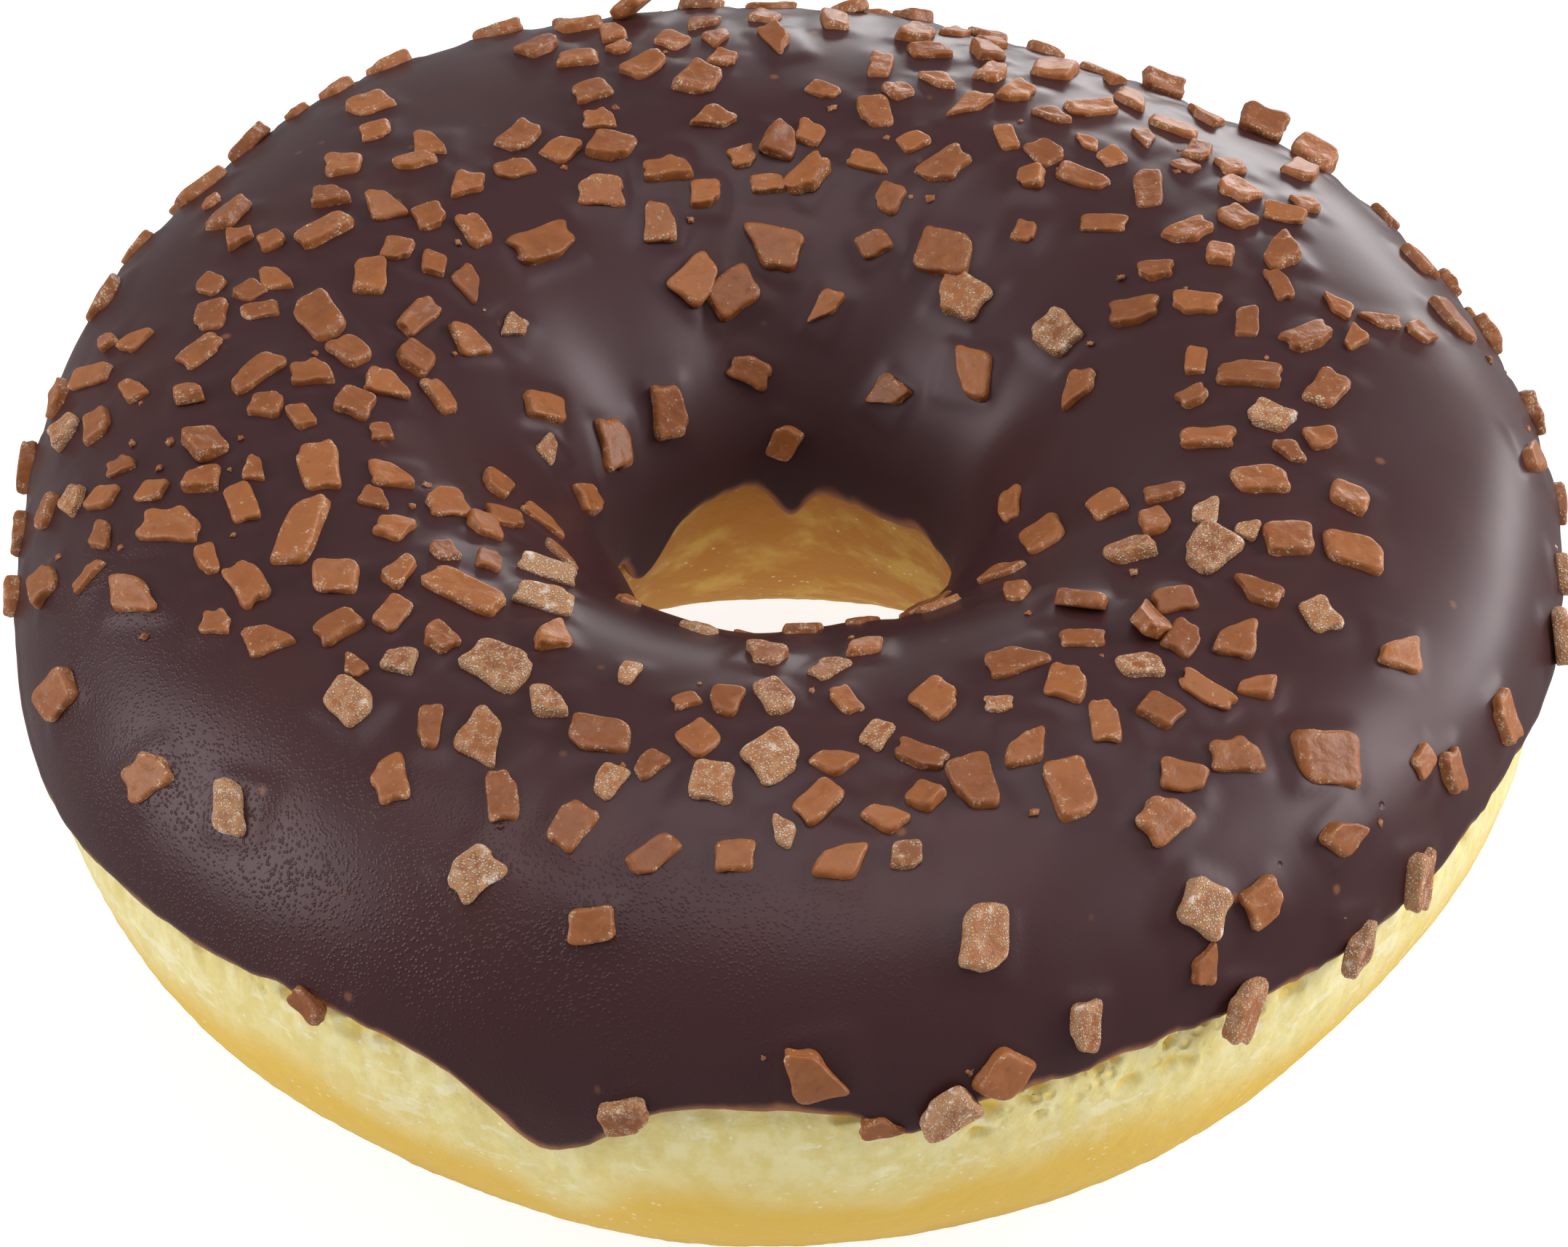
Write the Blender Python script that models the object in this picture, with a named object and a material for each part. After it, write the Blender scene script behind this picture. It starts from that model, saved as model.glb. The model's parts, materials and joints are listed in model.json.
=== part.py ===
"""A ring doughnut with dark chocolate icing and caramel chips, at its real size.

Metres, +Z up. The origin lies on the surface it rests on, under the middle of its outline.
A place on the ring is given by two angles in degrees. The bearing goes round the ring, from the
front (-Y) towards the right (+X). The climb goes round the ring's section: 0 on the outer girth,
90 on the crest, 180 on the wall of the hole and 270 underneath.
"""

import math
import random
from collections import namedtuple

import bmesh
import bpy
from mathutils import Matrix, Vector

MM = 0.001

# The dough ring
DOUGH_RADIUS = 47.0 * MM
DOUGH_HEIGHT = 35.6 * MM
HOLE_RADIUS = 11.0 * MM
CREST_RADIUS = 28.0 * MM
GIRTH_HEIGHT = 22.7 * MM
BASE_CUT = 1.0 * MM
HOLE_OFFSET = Vector((-0.40, -0.35)) * MM

# How square each quarter of the section is: 1 is a straight bevel, 2 is an ellipse
TOP_OUTER_POWER = 2.05
TOP_INNER_POWER = 1.6
UNDER_POWER = 1.7

# The ring isn't quite round: turns per circuit, then the cosine and the sine part
OUTLINE_WAVES = (
    (1, -0.80 * MM, -0.44 * MM),
    (2, 0.93 * MM, 0.10 * MM),
    (3, 0.20 * MM, -0.72 * MM),
    (4, -0.30 * MM, 0.28 * MM),
)
LUMP_DEPTH = 0.22 * MM

# The icing, poured over the top of the dough
ICING_GAP = 0.3 * MM
ICING_AT_EDGE = 0.7 * MM
ICING_EXTRA_ON_CREST = 0.4 * MM
ICING_LIP = 1.0 * MM
OUTER_EDGE_HEIGHT = 24.3 * MM
INNER_EDGE_HEIGHT = 20.2 * MM

# Where the edge of the icing has run down or drawn back: bearing, half width, drop
OUTER_RUNS = (
    (-15, 4.5, 4.0 * MM),
    (9, 3.0, 1.7 * MM),
    (-66, 12.0, 2.2 * MM),
    (-31, 9.0, -1.2 * MM),
    (78, 7.0, 0.9 * MM),
    (108, 8.0, 1.7 * MM),
    (141, 5.0, 3.0 * MM),
    (168, 9.0, -0.8 * MM),
    (-160, 7.0, 2.4 * MM),
    (-124, 6.0, 1.5 * MM),
)
INNER_RUNS = (
    (-129, 10.0, 4.0 * MM),
    (179, 6.5, 2.6 * MM),
    (60, 12.0, 1.6 * MM),
    (-35, 14.0, 2.2 * MM),
)

# The caramel chips
Chip = namedtuple("Chip", "bearing climb long short turn lean sugared kind")
CHIP_SEED = 20
CHIP_COUNT = 342
FUSED_CHIPS = 172
CHIP_KINDS = 12
CHIP_THICKNESS = 1.05 * MM
CHIP_FULL_WIDTH = 2.3 * MM
CHIP_SUNK_SHARE = 0.62
CHIP_SPACING = 0.47
CREST_CLIMB = 84
CLIMB_SPREAD = 26

# Mesh density
MERGE_DISTANCE = 0.004 * MM
BEARINGS = 56
DOUGH_STEP = 18
ICING_ROWS = 10
LIP_ROUNDING = ((0.0, 0.45), (0.35, 0.8), (1.0, 1.0))

CHOCOLATE = (0.045, 0.016, 0.014, 1.0)
CARAMEL = (0.29, 0.105, 0.040, 1.0)
GOLDEN_DOUGH = (0.70, 0.50, 0.19, 1.0)


def clear_scene():
    """Take away whatever the file opened with."""
    for thing in list(bpy.data.objects):
        bpy.data.objects.remove(thing, do_unlink=True)


def make_material(name, colour, roughness):
    """A plain food finish."""
    material = bpy.data.materials.new(name)
    material.use_nodes = True
    shader = material.node_tree.nodes["Principled BSDF"]
    shader.inputs["Base Color"].default_value = colour
    shader.inputs["Roughness"].default_value = roughness
    shader.inputs["Metallic"].default_value = 0.0
    material.diffuse_color = colour
    return material


def smooth_mix(low, high, share):
    """Ease from one value to another as share goes from 0 to 1."""
    share = min(max(share, 0.0), 1.0)
    return low + (high - low) * share * share * (3 - 2 * share)


def angle_between(a, b):
    """Shortest way from one bearing to another, in degrees."""
    return (a - b + 180) % 360 - 180


def section_power(climb):
    """How square the section is at a climb, eased from one quarter to the next."""
    corners = ((-45, UNDER_POWER), (45, TOP_OUTER_POWER), (135, TOP_INNER_POWER), (225, UNDER_POWER),
               (315, UNDER_POWER))
    climb = (climb + 45) % 360 - 45
    for (start, low), (end, high) in zip(corners, corners[1:]):
        if climb <= end:
            return smooth_mix(low, high, (climb - start) / (end - start))
    return UNDER_POWER


def section(climb):
    """Distance from the hole's axis and height of the dough, before any unevenness."""
    across = math.cos(math.radians(climb))
    up = math.sin(math.radians(climb))
    reach = DOUGH_RADIUS - CREST_RADIUS if across > 0 else CREST_RADIUS - HOLE_RADIUS
    rise = DOUGH_HEIGHT - GIRTH_HEIGHT if up > 0 else GIRTH_HEIGHT + BASE_CUT
    power = section_power(climb)
    size = (abs(across) ** power + abs(up) ** power) ** (-1 / power)
    return CREST_RADIUS + reach * across * size, GIRTH_HEIGHT + rise * up * size


def dough_point(bearing, climb):
    """A point on the dough's surface, cut flat where it rests."""
    radius, height = section(climb)
    turn = math.radians(bearing)
    rise = math.radians(climb)
    outwards = min(max((radius - CREST_RADIUS) / (DOUGH_RADIUS - CREST_RADIUS), 0.0), 1.0)
    wave = sum(c * math.cos(n * turn) + s * math.sin(n * turn) for n, c, s in OUTLINE_WAVES)
    lump = math.sin(5 * turn + 1.3) * math.cos(2 * rise + 0.7)
    lump += 0.8 * math.sin(9 * turn - 0.4) * math.sin(3 * rise)
    radius += wave * outwards + LUMP_DEPTH * lump * math.cos(rise)
    height += LUMP_DEPTH * lump * math.sin(rise)
    return Vector((
        HOLE_OFFSET.x + radius * math.sin(turn),
        HOLE_OFFSET.y - radius * math.cos(turn),
        max(height, 0.0),
    ))


def surface_frame(bearing, climb):
    """The dough's surface at a place: the point, the way round, the way up and the way out."""
    step = 0.5
    round_ring = dough_point(bearing + step, climb) - dough_point(bearing - step, climb)
    up_section = dough_point(bearing, climb + step) - dough_point(bearing, climb - step)
    out = round_ring.cross(up_section).normalized()
    round_ring.normalize()
    return dough_point(bearing, climb), round_ring, out.cross(round_ring), out


def icing_thickness(climb):
    """The icing is thickest on the crest, where it set last."""
    return ICING_AT_EDGE + ICING_EXTRA_ON_CREST * max(math.sin(math.radians(climb)), 0.0)


def edge_height(bearing, middle, runs, ripple):
    """Height of the icing's edge at a bearing, with its runs and a slow ripple."""
    turn = math.radians(bearing)
    height = middle + ripple * (math.sin(4 * turn + 0.6) + 0.6 * math.sin(11 * turn + 2.1))
    for at, half_width, drop in runs:
        height -= drop * math.exp(-(angle_between(bearing, at) / half_width) ** 2)
    return height


def climb_at_height(height, low, high):
    """The climb, between two others, at which the plain section passes a height."""
    rising = section(high)[1] > section(low)[1]
    for _ in range(24):
        middle = (low + high) / 2
        if (section(middle)[1] < height) == rising:
            low = middle
        else:
            high = middle
    return (low + high) / 2


def icing_edges(bearing):
    """The climbs where the icing ends, outside and in the hole."""
    outer = climb_at_height(edge_height(bearing, OUTER_EDGE_HEIGHT, OUTER_RUNS, 0.25 * MM), -40, 60)
    inner = climb_at_height(edge_height(bearing, INNER_EDGE_HEIGHT, INNER_RUNS, 0.3 * MM), 130, 225)
    return outer, inner


def join_loops(mesh, first, second):
    """Bridge two closed loops of vertices with quads."""
    count = len(first)
    for i in range(count):
        j = (i + 1) % count
        mesh.faces.new((first[i], second[i], second[j], first[j]))


def to_object(name, mesh, material):
    """Turn a bmesh into a smooth-shaded object with one material."""
    bmesh.ops.triangulate(mesh, faces=mesh.faces[:], quad_method="SHORT_EDGE")
    data = bpy.data.meshes.new(name)
    mesh.to_mesh(data)
    mesh.free()
    data.materials.append(material)
    data.shade_smooth()
    thing = bpy.data.objects.new(name, data)
    bpy.context.scene.collection.objects.link(thing)
    return thing


def make_dough(material):
    """The ring of fried dough, flat where it rested."""
    rows = [row for row in range(0, 360, DOUGH_STEP) if row != 270]
    rows += [climb_at_height(-BASE_CUT / 2, 235, 270), climb_at_height(-BASE_CUT / 2, 270, 305)]
    mesh = bmesh.new()
    loops = []
    for k in range(BEARINGS):
        bearing = 360 * k / BEARINGS
        loops.append([mesh.verts.new(dough_point(bearing, row)) for row in sorted(rows)])
    for loop, following in zip(loops, loops[1:] + loops[:1]):
        join_loops(mesh, loop, following)
    return to_object("dough", mesh, material)


def icing_section(bearing):
    """The icing's closed section as climbs and thicknesses: over its top, then back under it."""
    outer, inner = icing_edges(bearing)
    degrees_per_metre = math.degrees(1 / (DOUGH_RADIUS - CREST_RADIUS))
    lip = [(reach * ICING_LIP * degrees_per_metre, height) for reach, height in LIP_ROUNDING]
    over = [(outer + reach, height) for reach, height in lip]
    over += [(outer + (inner - outer) * row / ICING_ROWS, 1.0) for row in range(1, ICING_ROWS)]
    over += [(inner - reach, height) for reach, height in reversed(lip)]
    rows = list(range(DOUGH_STEP, 180, DOUGH_STEP))
    under = [outer, (outer + rows[0]) / 2] + rows + [(rows[-1] + inner) / 2, inner]
    return over + [(climb, 0.0) for climb in reversed(under)]


def make_icing(material):
    """The skin of chocolate over the top, down the outside and into the hole."""
    mesh = bmesh.new()
    loops = []
    for k in range(BEARINGS):
        bearing = 360 * k / BEARINGS
        loop = []
        for climb, thickness in icing_section(bearing):
            point, _, _, out = surface_frame(bearing, climb)
            loop.append(mesh.verts.new(point + out * (ICING_GAP + thickness * icing_thickness(climb))))
        loops.append(loop)
    for loop, following in zip(loops, loops[1:] + loops[:1]):
        join_loops(mesh, loop, following)
    return to_object("icing", mesh, material)


def chip_outline(kind):
    """The corners of one kind of chip, in a unit square: a broken-off square, oblong or shard."""
    draw = random.Random(100 + kind)
    corners = [Vector((x, y)) for x, y in ((-0.5, -0.5), (0.5, -0.5), (0.5, 0.5), (-0.5, 0.5))]
    corners = [Vector((c.x * draw.uniform(0.72, 1.04), c.y * draw.uniform(0.66, 1.06))) for c in corners]
    if kind % 4 == 2:
        corners[2].x = draw.uniform(-0.1, 0.15)
    if kind % 2:
        cut = draw.randrange(4)
        before, at, after = corners[cut - 1], corners[cut], corners[(cut + 1) % 4]
        share = draw.uniform(0.25, 0.5)
        corners[cut:cut + 1] = [at.lerp(before, share), at.lerp(after, share * 0.8)]
    return corners


def placed_chips():
    """The chips that stand out in front, each where it was seen."""
    seen = (
        # bearing, climb, long, short, turn, lean, sugared
        (-66, 24, 3.6, 2.8, 80, 10, 0), (-53, 32, 3.4, 3.0, 70, 8, 0), (-44, 40, 3.5, 3.3, 20, 12, 1),
        (-24, 49, 3.3, 3.1, 60, 8, 1), (-14, 45, 2.7, 2.4, 10, 10, 0), (-18, 61, 3.2, 2.4, 75, 6, 0),
        (3, 20, 4.0, 3.4, 8, 14, 0), (15, 41, 4.2, 2.9, 75, 12, 1), (32, 35, 3.6, 3.5, 40, 10, 1),
        (37, 30, 2.9, 2.7, 5, 6, 0), (31, 24, 2.7, 1.9, 70, 8, 0), (21, 20, 3.2, 2.1, 75, 20, 1),
        (48, 47, 4.5, 3.6, -35, 12, 0), (41, 57, 3.4, 2.5, -25, 6, 0), (46, 34, 3.9, 2.5, 15, 14, 0),
        (58, 26, 2.8, 2.4, 70, 8, 0), (56, 33, 1.9, 1.8, 0, 6, 0), (67, 20, 3.4, 2.6, 80, 6, 0),
        (62, 51, 3.3, 3.0, 30, 4, 0), (80, 10, 3.6, 3.2, 60, 16, 1), (-33, 12, 2.8, 1.8, -25, 10, 0),
        (-10, 6, 3.1, 2.3, 15, 12, 1), (7, 5, 2.7, 1.7, 5, 8, 0), (11, 8, 3.7, 3.3, 25, 20, 1),
        (15, 14, 3.2, 3.0, 50, 10, 0), (33, 9, 4.0, 3.0, 65, 22, 1), (44, 9, 4.0, 2.6, 70, 20, 1),
        (51, 12, 3.9, 2.9, 65, 12, 1), (-44, 118, 3.6, 1.8, 35, 38, 1), (-37, 106, 3.7, 2.0, 30, 32, 1),
        (44, 88, 4.0, 2.8, 80, 36, 0), (41, 98, 3.4, 2.2, -60, -36, 0), (50, 88, 3.1, 1.9, -35, 28, 0),
        (46, 80, 2.9, 2.2, 12, 10, 0), (67, 95, 2.5, 2.0, 15, 4, 1), (60, 90, 3.8, 3.3, -10, 14, 1),
        (-65, 82, 6.0, 2.6, -35, 10, 0), (-73, 60, 4.2, 2.8, 60, 10, 0), (-67, 51, 5.0, 2.6, 50, 16, 0),
        (-61, 69, 4.0, 2.5, 0, 6, 0), (-44, 96, 5.2, 2.6, 5, 6, 0), (-33, 86, 4.2, 3.2, 0, 6, 1),
        (-28, 72, 4.0, 3.2, -10, 5, 1), (-19, 79, 3.9, 2.6, 10, 4, 0), (-7, 73, 3.3, 2.9, 85, 8, 1),
        (-1, 79, 3.5, 3.3, 35, 8, 1), (29, 92, 4.0, 2.8, -5, 4, 0), (18, 70, 3.8, 3.0, 85, 4, 0),
        (26, 64, 4.1, 2.9, 85, 4, 0), (32, 53, 3.3, 3.0, 20, 6, 0), (5, 60, 3.7, 2.6, 65, 8, 0),
        (-135, 112, 4.6, 3.0, -10, 6, 0), (-167, 137, 3.4, 3.0, 20, 8, 0), (-142, 160, 3.6, 2.4, 80, 6, 0),
        (148, 159, 3.0, 2.4, 75, 8, 0), (180, 174, 2.6, 2.0, 70, 4, 0), (137, 40, 3.6, 3.2, 30, -34, 0),
        (-166, 50, 3.6, 3.0, 60, 36, 0), (-176, 126, 4.2, 3.5, -15, 6, 0), (-160, 132, 3.5, 3.0, 30, 6, 0),
        (150, 121, 3.9, 3.4, 10, 6, 0), (142, 129, 3.7, 3.4, 0, 8, 1), (131, 144, 3.9, 3.4, 20, 6, 0),
        (-119, 160, 3.5, 2.8, 60, 6, 0), (-107, 139, 3.1, 2.3, -60, 8, 0), (120, 123, 3.4, 2.9, 5, 6, 1),
        (171, 142, 3.2, 1.5, 70, 10, 0), (-146, 39, 2.9, 2.4, 5, 14, 0), (-141, 39, 2.6, 2.2, 12, 18, 0),
        (-137, 36, 1.9, 1.7, 10, 16, 0), (-132, 36, 3.6, 2.6, 15, 24, 0), (-125, 38, 4.0, 2.2, -28, 16, 0),
        (-118, 58, 3.0, 2.3, 0, 18, 0), (-121, 49, 1.5, 1.3, 30, 10, 0), (-117, 32, 2.8, 2.0, 0, 14, 0),
        (-110, 35, 4.0, 2.8, 5, 12, 0), (-98, 42, 4.0, 1.8, 60, 14, 0), (-99, 30, 2.8, 2.3, 10, 12, 0),
        (-96, 13, 3.2, 2.4, 0, 16, 0), (-89, 12, 2.8, 2.0, 0, 8, 0), (-82, 12, 2.8, 2.2, 0, 16, 0),
        (-85, 30, 2.6, 2.0, -30, 8, 0), (-155, 43, 3.4, 2.6, 5, 18, 0), (-156, 60, 3.0, 2.4, 10, 8, 0),
        (-161, 52, 3.0, 2.4, 5, 8, 0), (-172, 46, 3.2, 2.2, -20, 22, 0), (175, 49, 2.4, 2.0, 60, 30, 0),
        (158, 44, 2.6, 2.2, 5, 12, 0), (152, 48, 2.8, 1.8, 0, 8, 0), (147, 41, 3.0, 2.4, 40, -34, 0),
        (141, 51, 3.8, 1.8, 0, 8, 0), (132, 37, 3.4, 3.0, 20, -32, 0), (124, 35, 2.4, 1.8, 0, 10, 0),
        (116, 41, 3.0, 2.2, 10, 8, 0), (117, 29, 2.6, 2.2, 10, 14, 0), (107, 45, 4.0, 2.6, 10, 6, 0),
        (110, 27, 3.0, 2.4, 0, 16, 0), (103, 20, 3.8, 2.4, 0, 16, 0), (94, 32, 3.4, 3.0, 30, 8, 0),
        (95, 13, 3.0, 2.0, 0, 14, 0), (86, 15, 2.6, 1.8, 40, 20, 1),
    )
    chips = []
    for k, (bearing, climb, long, short, turn, lean, sugared) in enumerate(seen):
        chips.append(Chip(bearing, climb, long * MM, short * MM, turn, lean, sugared, k % CHIP_KINDS))
    return chips


def chip_density(bearing, climb):
    """How thickly the chips fell at a place, with the gatherings and the bare patches."""
    gathered = ((5, 73, 25), (-76, 53, 15), (-72, 82, 20), (-48, 98, 17), (50, 84, 17), (78, 92, 17),
                (106, 88, 14), (134, 76, 16), (161, 52, 13), (162, 92, 14), (-166, 68, 12), (-136, 100, 16),
                (-106, 82, 17))
    bare = ((-12, 98, 13), (-150, 72, 11), (20, 108, 16), (96, 110, 13), (82, 60, 14), (-140, 48, 16),
            (-150, 138, 42), (145, 136, 32))
    density = 0.09
    for at, height, reach in gathered:
        density += math.exp(-(angle_between(bearing, at) / reach) ** 2 - ((climb - height) / 14) ** 2)
    for at, height, reach in bare:
        near = math.exp(-(angle_between(bearing, at) / reach) ** 2 - ((climb - height) / 13) ** 2)
        density *= 1 - 0.9 * near
    low_front = math.exp(-(bearing / 64) ** 6 - (max(climb - 40, 0) / 17) ** 4)
    return density * (1 - low_front)


def scattered_chips():
    """Every chip on the icing: the ones that stand out, then the rest as they fell."""
    draw = random.Random(CHIP_SEED)
    chips = placed_chips()
    places = [dough_point(chip.bearing, chip.climb) for chip in chips]
    while len(chips) < CHIP_COUNT:
        bearing = draw.uniform(-180, 180)
        climb = draw.gauss(CREST_CLIMB, CLIMB_SPREAD) if draw.random() < 0.92 else draw.uniform(120, 168)
        long = draw.triangular(1.5, 4.6, 2.8) * MM
        short = min(draw.triangular(1.3, 3.1, 2.2) * MM, long)
        turn = draw.uniform(0, 180)
        lean = draw.gauss(0, 6) if draw.random() < 0.86 else draw.uniform(-26, 26)
        sugared = draw.random() < 0.10 + 0.16 * math.cos(math.radians(bearing + 20))
        if draw.random() >= chip_density(bearing, climb):
            continue
        outer, inner = icing_edges(bearing)
        if not outer + 12 < climb < inner - 9:
            continue
        place = dough_point(bearing, climb)
        rooms = [CHIP_SPACING * (long + chip.long) for chip in chips]
        if any((place - other).length < room for other, room in zip(places, rooms)):
            continue
        chips.append(Chip(bearing, climb, long, short, turn, lean, sugared, len(chips) % CHIP_KINDS))
        places.append(place)
    return chips


def chip_thickness(chip):
    """The smaller chips are thinner."""
    return CHIP_THICKNESS * min(max(chip.short / CHIP_FULL_WIDTH, 0.7), 1.0)


def chip_matrix(chip):
    """Where a chip lies: its face along the icing, leaning on its long side, its lowest side sunk in."""
    point, round_ring, up_section, out = surface_frame(chip.bearing, chip.climb)
    turned = Matrix((round_ring, up_section, out)).transposed()
    turned = turned @ Matrix.Rotation(math.radians(chip.turn), 3, "Z")
    turned = turned @ Matrix.Rotation(math.radians(chip.lean), 3, "X")
    lowest = abs(math.sin(math.radians(chip.lean))) * chip.short * 0.53
    sink = min(CHIP_SUNK_SHARE * chip_thickness(chip), 0.7 * icing_thickness(chip.climb))
    lift = ICING_GAP + icing_thickness(chip.climb) - sink + lowest
    return Matrix.Translation(point + out * lift) @ turned.to_4x4()


def make_chip(chip, material):
    """A small flat slab of caramel with its upper edges worn round."""
    outline = [Vector((c.x * chip.long, c.y * chip.short)) for c in chip_outline(chip.kind)]
    levels = ((1.0, 0.0), (1.0, 0.62), (0.8, 1.0))
    thickness = chip_thickness(chip)
    mesh = bmesh.new()
    rings = []
    for width, height in levels:
        rings.append([mesh.verts.new((c.x * width, c.y * width, thickness * height)) for c in outline])
    mesh.faces.new(rings[0][::-1])
    for lower, upper in zip(rings, rings[1:]):
        join_loops(mesh, upper, lower)
    mesh.faces.new(rings[-1])
    bmesh.ops.transform(mesh, matrix=chip_matrix(chip), verts=mesh.verts[:])
    return to_object("chip", mesh, material)


def fuse_chips(icing, material):
    """Join the largest chips to the icing they are set in, and drop any loose scrap."""
    largest = sorted(scattered_chips(), key=lambda chip: -chip.long * chip.short)[:FUSED_CHIPS]
    group = bpy.data.collections.new("chips")
    bpy.context.scene.collection.children.link(group)
    for chip in largest:
        thing = make_chip(chip, material)
        bpy.context.scene.collection.objects.unlink(thing)
        group.objects.link(thing)
    union = icing.modifiers.new("chips", "BOOLEAN")
    union.operation = "UNION"
    union.operand_type = "COLLECTION"
    union.collection = group
    union.solver = "EXACT"
    union.material_mode = "TRANSFER"
    bpy.context.view_layer.update()
    fused = bpy.data.meshes.new_from_object(icing.evaluated_get(bpy.context.evaluated_depsgraph_get()))
    icing.modifiers.clear()
    icing.data = fused
    for thing in list(group.objects):
        bpy.data.objects.remove(thing, do_unlink=True)
    bpy.data.collections.remove(group)


def keep_largest_body(thing):
    """Drop loose scraps and fill sealed pockets: only the body with the most faces stays."""
    mesh = bmesh.new()
    mesh.from_mesh(thing.data)
    bmesh.ops.remove_doubles(mesh, verts=mesh.verts[:], dist=MERGE_DISTANCE)
    unseen = set(mesh.faces)
    bodies = []
    while unseen:
        body = set()
        waiting = [next(iter(unseen))]
        while waiting:
            face = waiting.pop()
            if face in body:
                continue
            body.add(face)
            waiting.extend(other for edge in face.edges for other in edge.link_faces)
        unseen -= body
        bodies.append(body)
    bodies.sort(key=len)
    scraps = [face for body in bodies[:-1] for face in body]
    bmesh.ops.delete(mesh, geom=scraps, context="FACES")
    bmesh.ops.triangulate(mesh, faces=mesh.faces[:])
    mesh.to_mesh(thing.data)
    mesh.free()
    thing.data.set_sharp_from_angle(angle=math.radians(35))


def build():
    """Make the dough, pour the icing and set the chips in it."""
    clear_scene()
    make_dough(make_material("golden dough", GOLDEN_DOUGH, 0.75))
    icing = make_icing(make_material("dark chocolate", CHOCOLATE, 0.35))
    fuse_chips(icing, make_material("caramel", CARAMEL, 0.55))
    keep_largest_body(icing)


build()
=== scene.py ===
import json
import math
import random
from collections import namedtuple

import bmesh
import bpy
import numpy as np
from mathutils import Euler, Matrix, Vector, noise

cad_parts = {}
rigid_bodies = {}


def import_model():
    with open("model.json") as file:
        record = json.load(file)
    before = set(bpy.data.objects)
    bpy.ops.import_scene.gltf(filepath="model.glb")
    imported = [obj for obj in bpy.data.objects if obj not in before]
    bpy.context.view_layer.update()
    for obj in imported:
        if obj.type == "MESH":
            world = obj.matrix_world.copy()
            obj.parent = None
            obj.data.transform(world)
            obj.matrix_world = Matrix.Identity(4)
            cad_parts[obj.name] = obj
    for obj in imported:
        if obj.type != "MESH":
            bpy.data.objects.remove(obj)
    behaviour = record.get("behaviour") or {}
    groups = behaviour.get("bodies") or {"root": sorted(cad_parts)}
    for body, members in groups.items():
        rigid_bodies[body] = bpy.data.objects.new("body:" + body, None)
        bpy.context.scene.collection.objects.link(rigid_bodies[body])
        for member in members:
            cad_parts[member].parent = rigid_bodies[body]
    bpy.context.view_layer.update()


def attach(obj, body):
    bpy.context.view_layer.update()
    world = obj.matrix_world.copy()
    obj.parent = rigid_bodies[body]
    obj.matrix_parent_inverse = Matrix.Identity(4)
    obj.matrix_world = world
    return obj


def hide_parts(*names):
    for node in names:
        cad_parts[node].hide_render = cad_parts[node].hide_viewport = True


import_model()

# The studio. The doughnut was shot from a little over 40 degrees above, with a long lens, on white.
# The camera stands in front of it (-Y) and looks at the middle of the ring, turned a hair to one side.
MM = 0.001
VIEW_TARGET = Vector((-0.40, -0.35, 18.5)) * MM
VIEW_DISTANCE = 400 * MM
VIEW_ELEVATION = 41.6
VIEW_ROLL = 0.86
VIEW_LENS = 150.6

camera = bpy.data.objects.new("camera", bpy.data.cameras.new("camera"))
bpy.context.scene.collection.objects.link(camera)
camera.data.lens = VIEW_LENS
camera.data.clip_start = 0.01
tilt = math.radians(90 - VIEW_ELEVATION)
camera.location = VIEW_TARGET + Vector((0, -math.sin(tilt), math.cos(tilt))) * VIEW_DISTANCE
turned = Euler((tilt, 0, 0)).to_matrix() @ Matrix.Rotation(math.radians(VIEW_ROLL), 3, "Z")
camera.rotation_euler = turned.to_euler()
bpy.context.scene.camera = camera
bpy.context.scene.view_settings.view_transform = "Standard"

# Soft studio light: an even white surround, a broad box on either side and above, and two long low ones
# behind and behind on the right, which draw the bright line along the far rim.
WORLD_LIGHT = 0.36
SOFTBOXES = (
    # name, place, width, height, watts
    ("left box", (-0.74, -0.06, 0.36), 0.62, 0.62, 3.6),
    ("right box", (0.74, 0.02, 0.40), 0.50, 0.50, 5.0),
    ("back box", (0.27, 0.91, 0.06), 0.66, 0.11, 2.8),
    ("rim box", (0.79, 0.53, 0.06), 0.44, 0.11, 2.0),
    ("top box", (0.0, -0.05, 0.90), 0.80, 0.80, 3.0),
)

surround = bpy.data.worlds.new("surround")
bpy.context.scene.world = surround
surround.use_nodes = True
surround.node_tree.nodes["Background"].inputs["Color"].default_value = (1.0, 1.0, 1.0, 1.0)
surround.node_tree.nodes["Background"].inputs["Strength"].default_value = WORLD_LIGHT
for name, place, width, height, watts in SOFTBOXES:
    box = bpy.data.objects.new(name, bpy.data.lights.new(name, "AREA"))
    box.data.shape = "ELLIPSE"
    box.data.size = width
    box.data.size_y = height
    box.data.energy = watts
    box.location = place
    box.rotation_euler = (VIEW_TARGET - Vector(place)).to_track_quat("-Z", "Y").to_euler()
    bpy.context.scene.collection.objects.link(box)

# The floor is a plain white sheet that fills the view. It glows a little, so it's white in the hole too,
# and the glossy icing doesn't mirror it, which keeps the sheen on the flanks narrow.
FLOOR_SIZE = 6.0
FLOOR_GREY = (0.25, 0.25, 0.25, 1.0)
FLOOR_ROUGHNESS = 0.8
FLOOR_GLOW = 0.86
floor_mesh = bmesh.new()
bmesh.ops.create_grid(floor_mesh, x_segments=1, y_segments=1, size=FLOOR_SIZE / 2)
floor_data = bpy.data.meshes.new("floor")
floor_mesh.to_mesh(floor_data)
floor_mesh.free()
floor = bpy.data.objects.new("floor", floor_data)
bpy.context.scene.collection.objects.link(floor)
white_sheet = bpy.data.materials.new("white sheet")
white_sheet.use_nodes = True
sheet_shader = white_sheet.node_tree.nodes["Principled BSDF"]
sheet_shader.inputs["Base Color"].default_value = FLOOR_GREY
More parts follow.
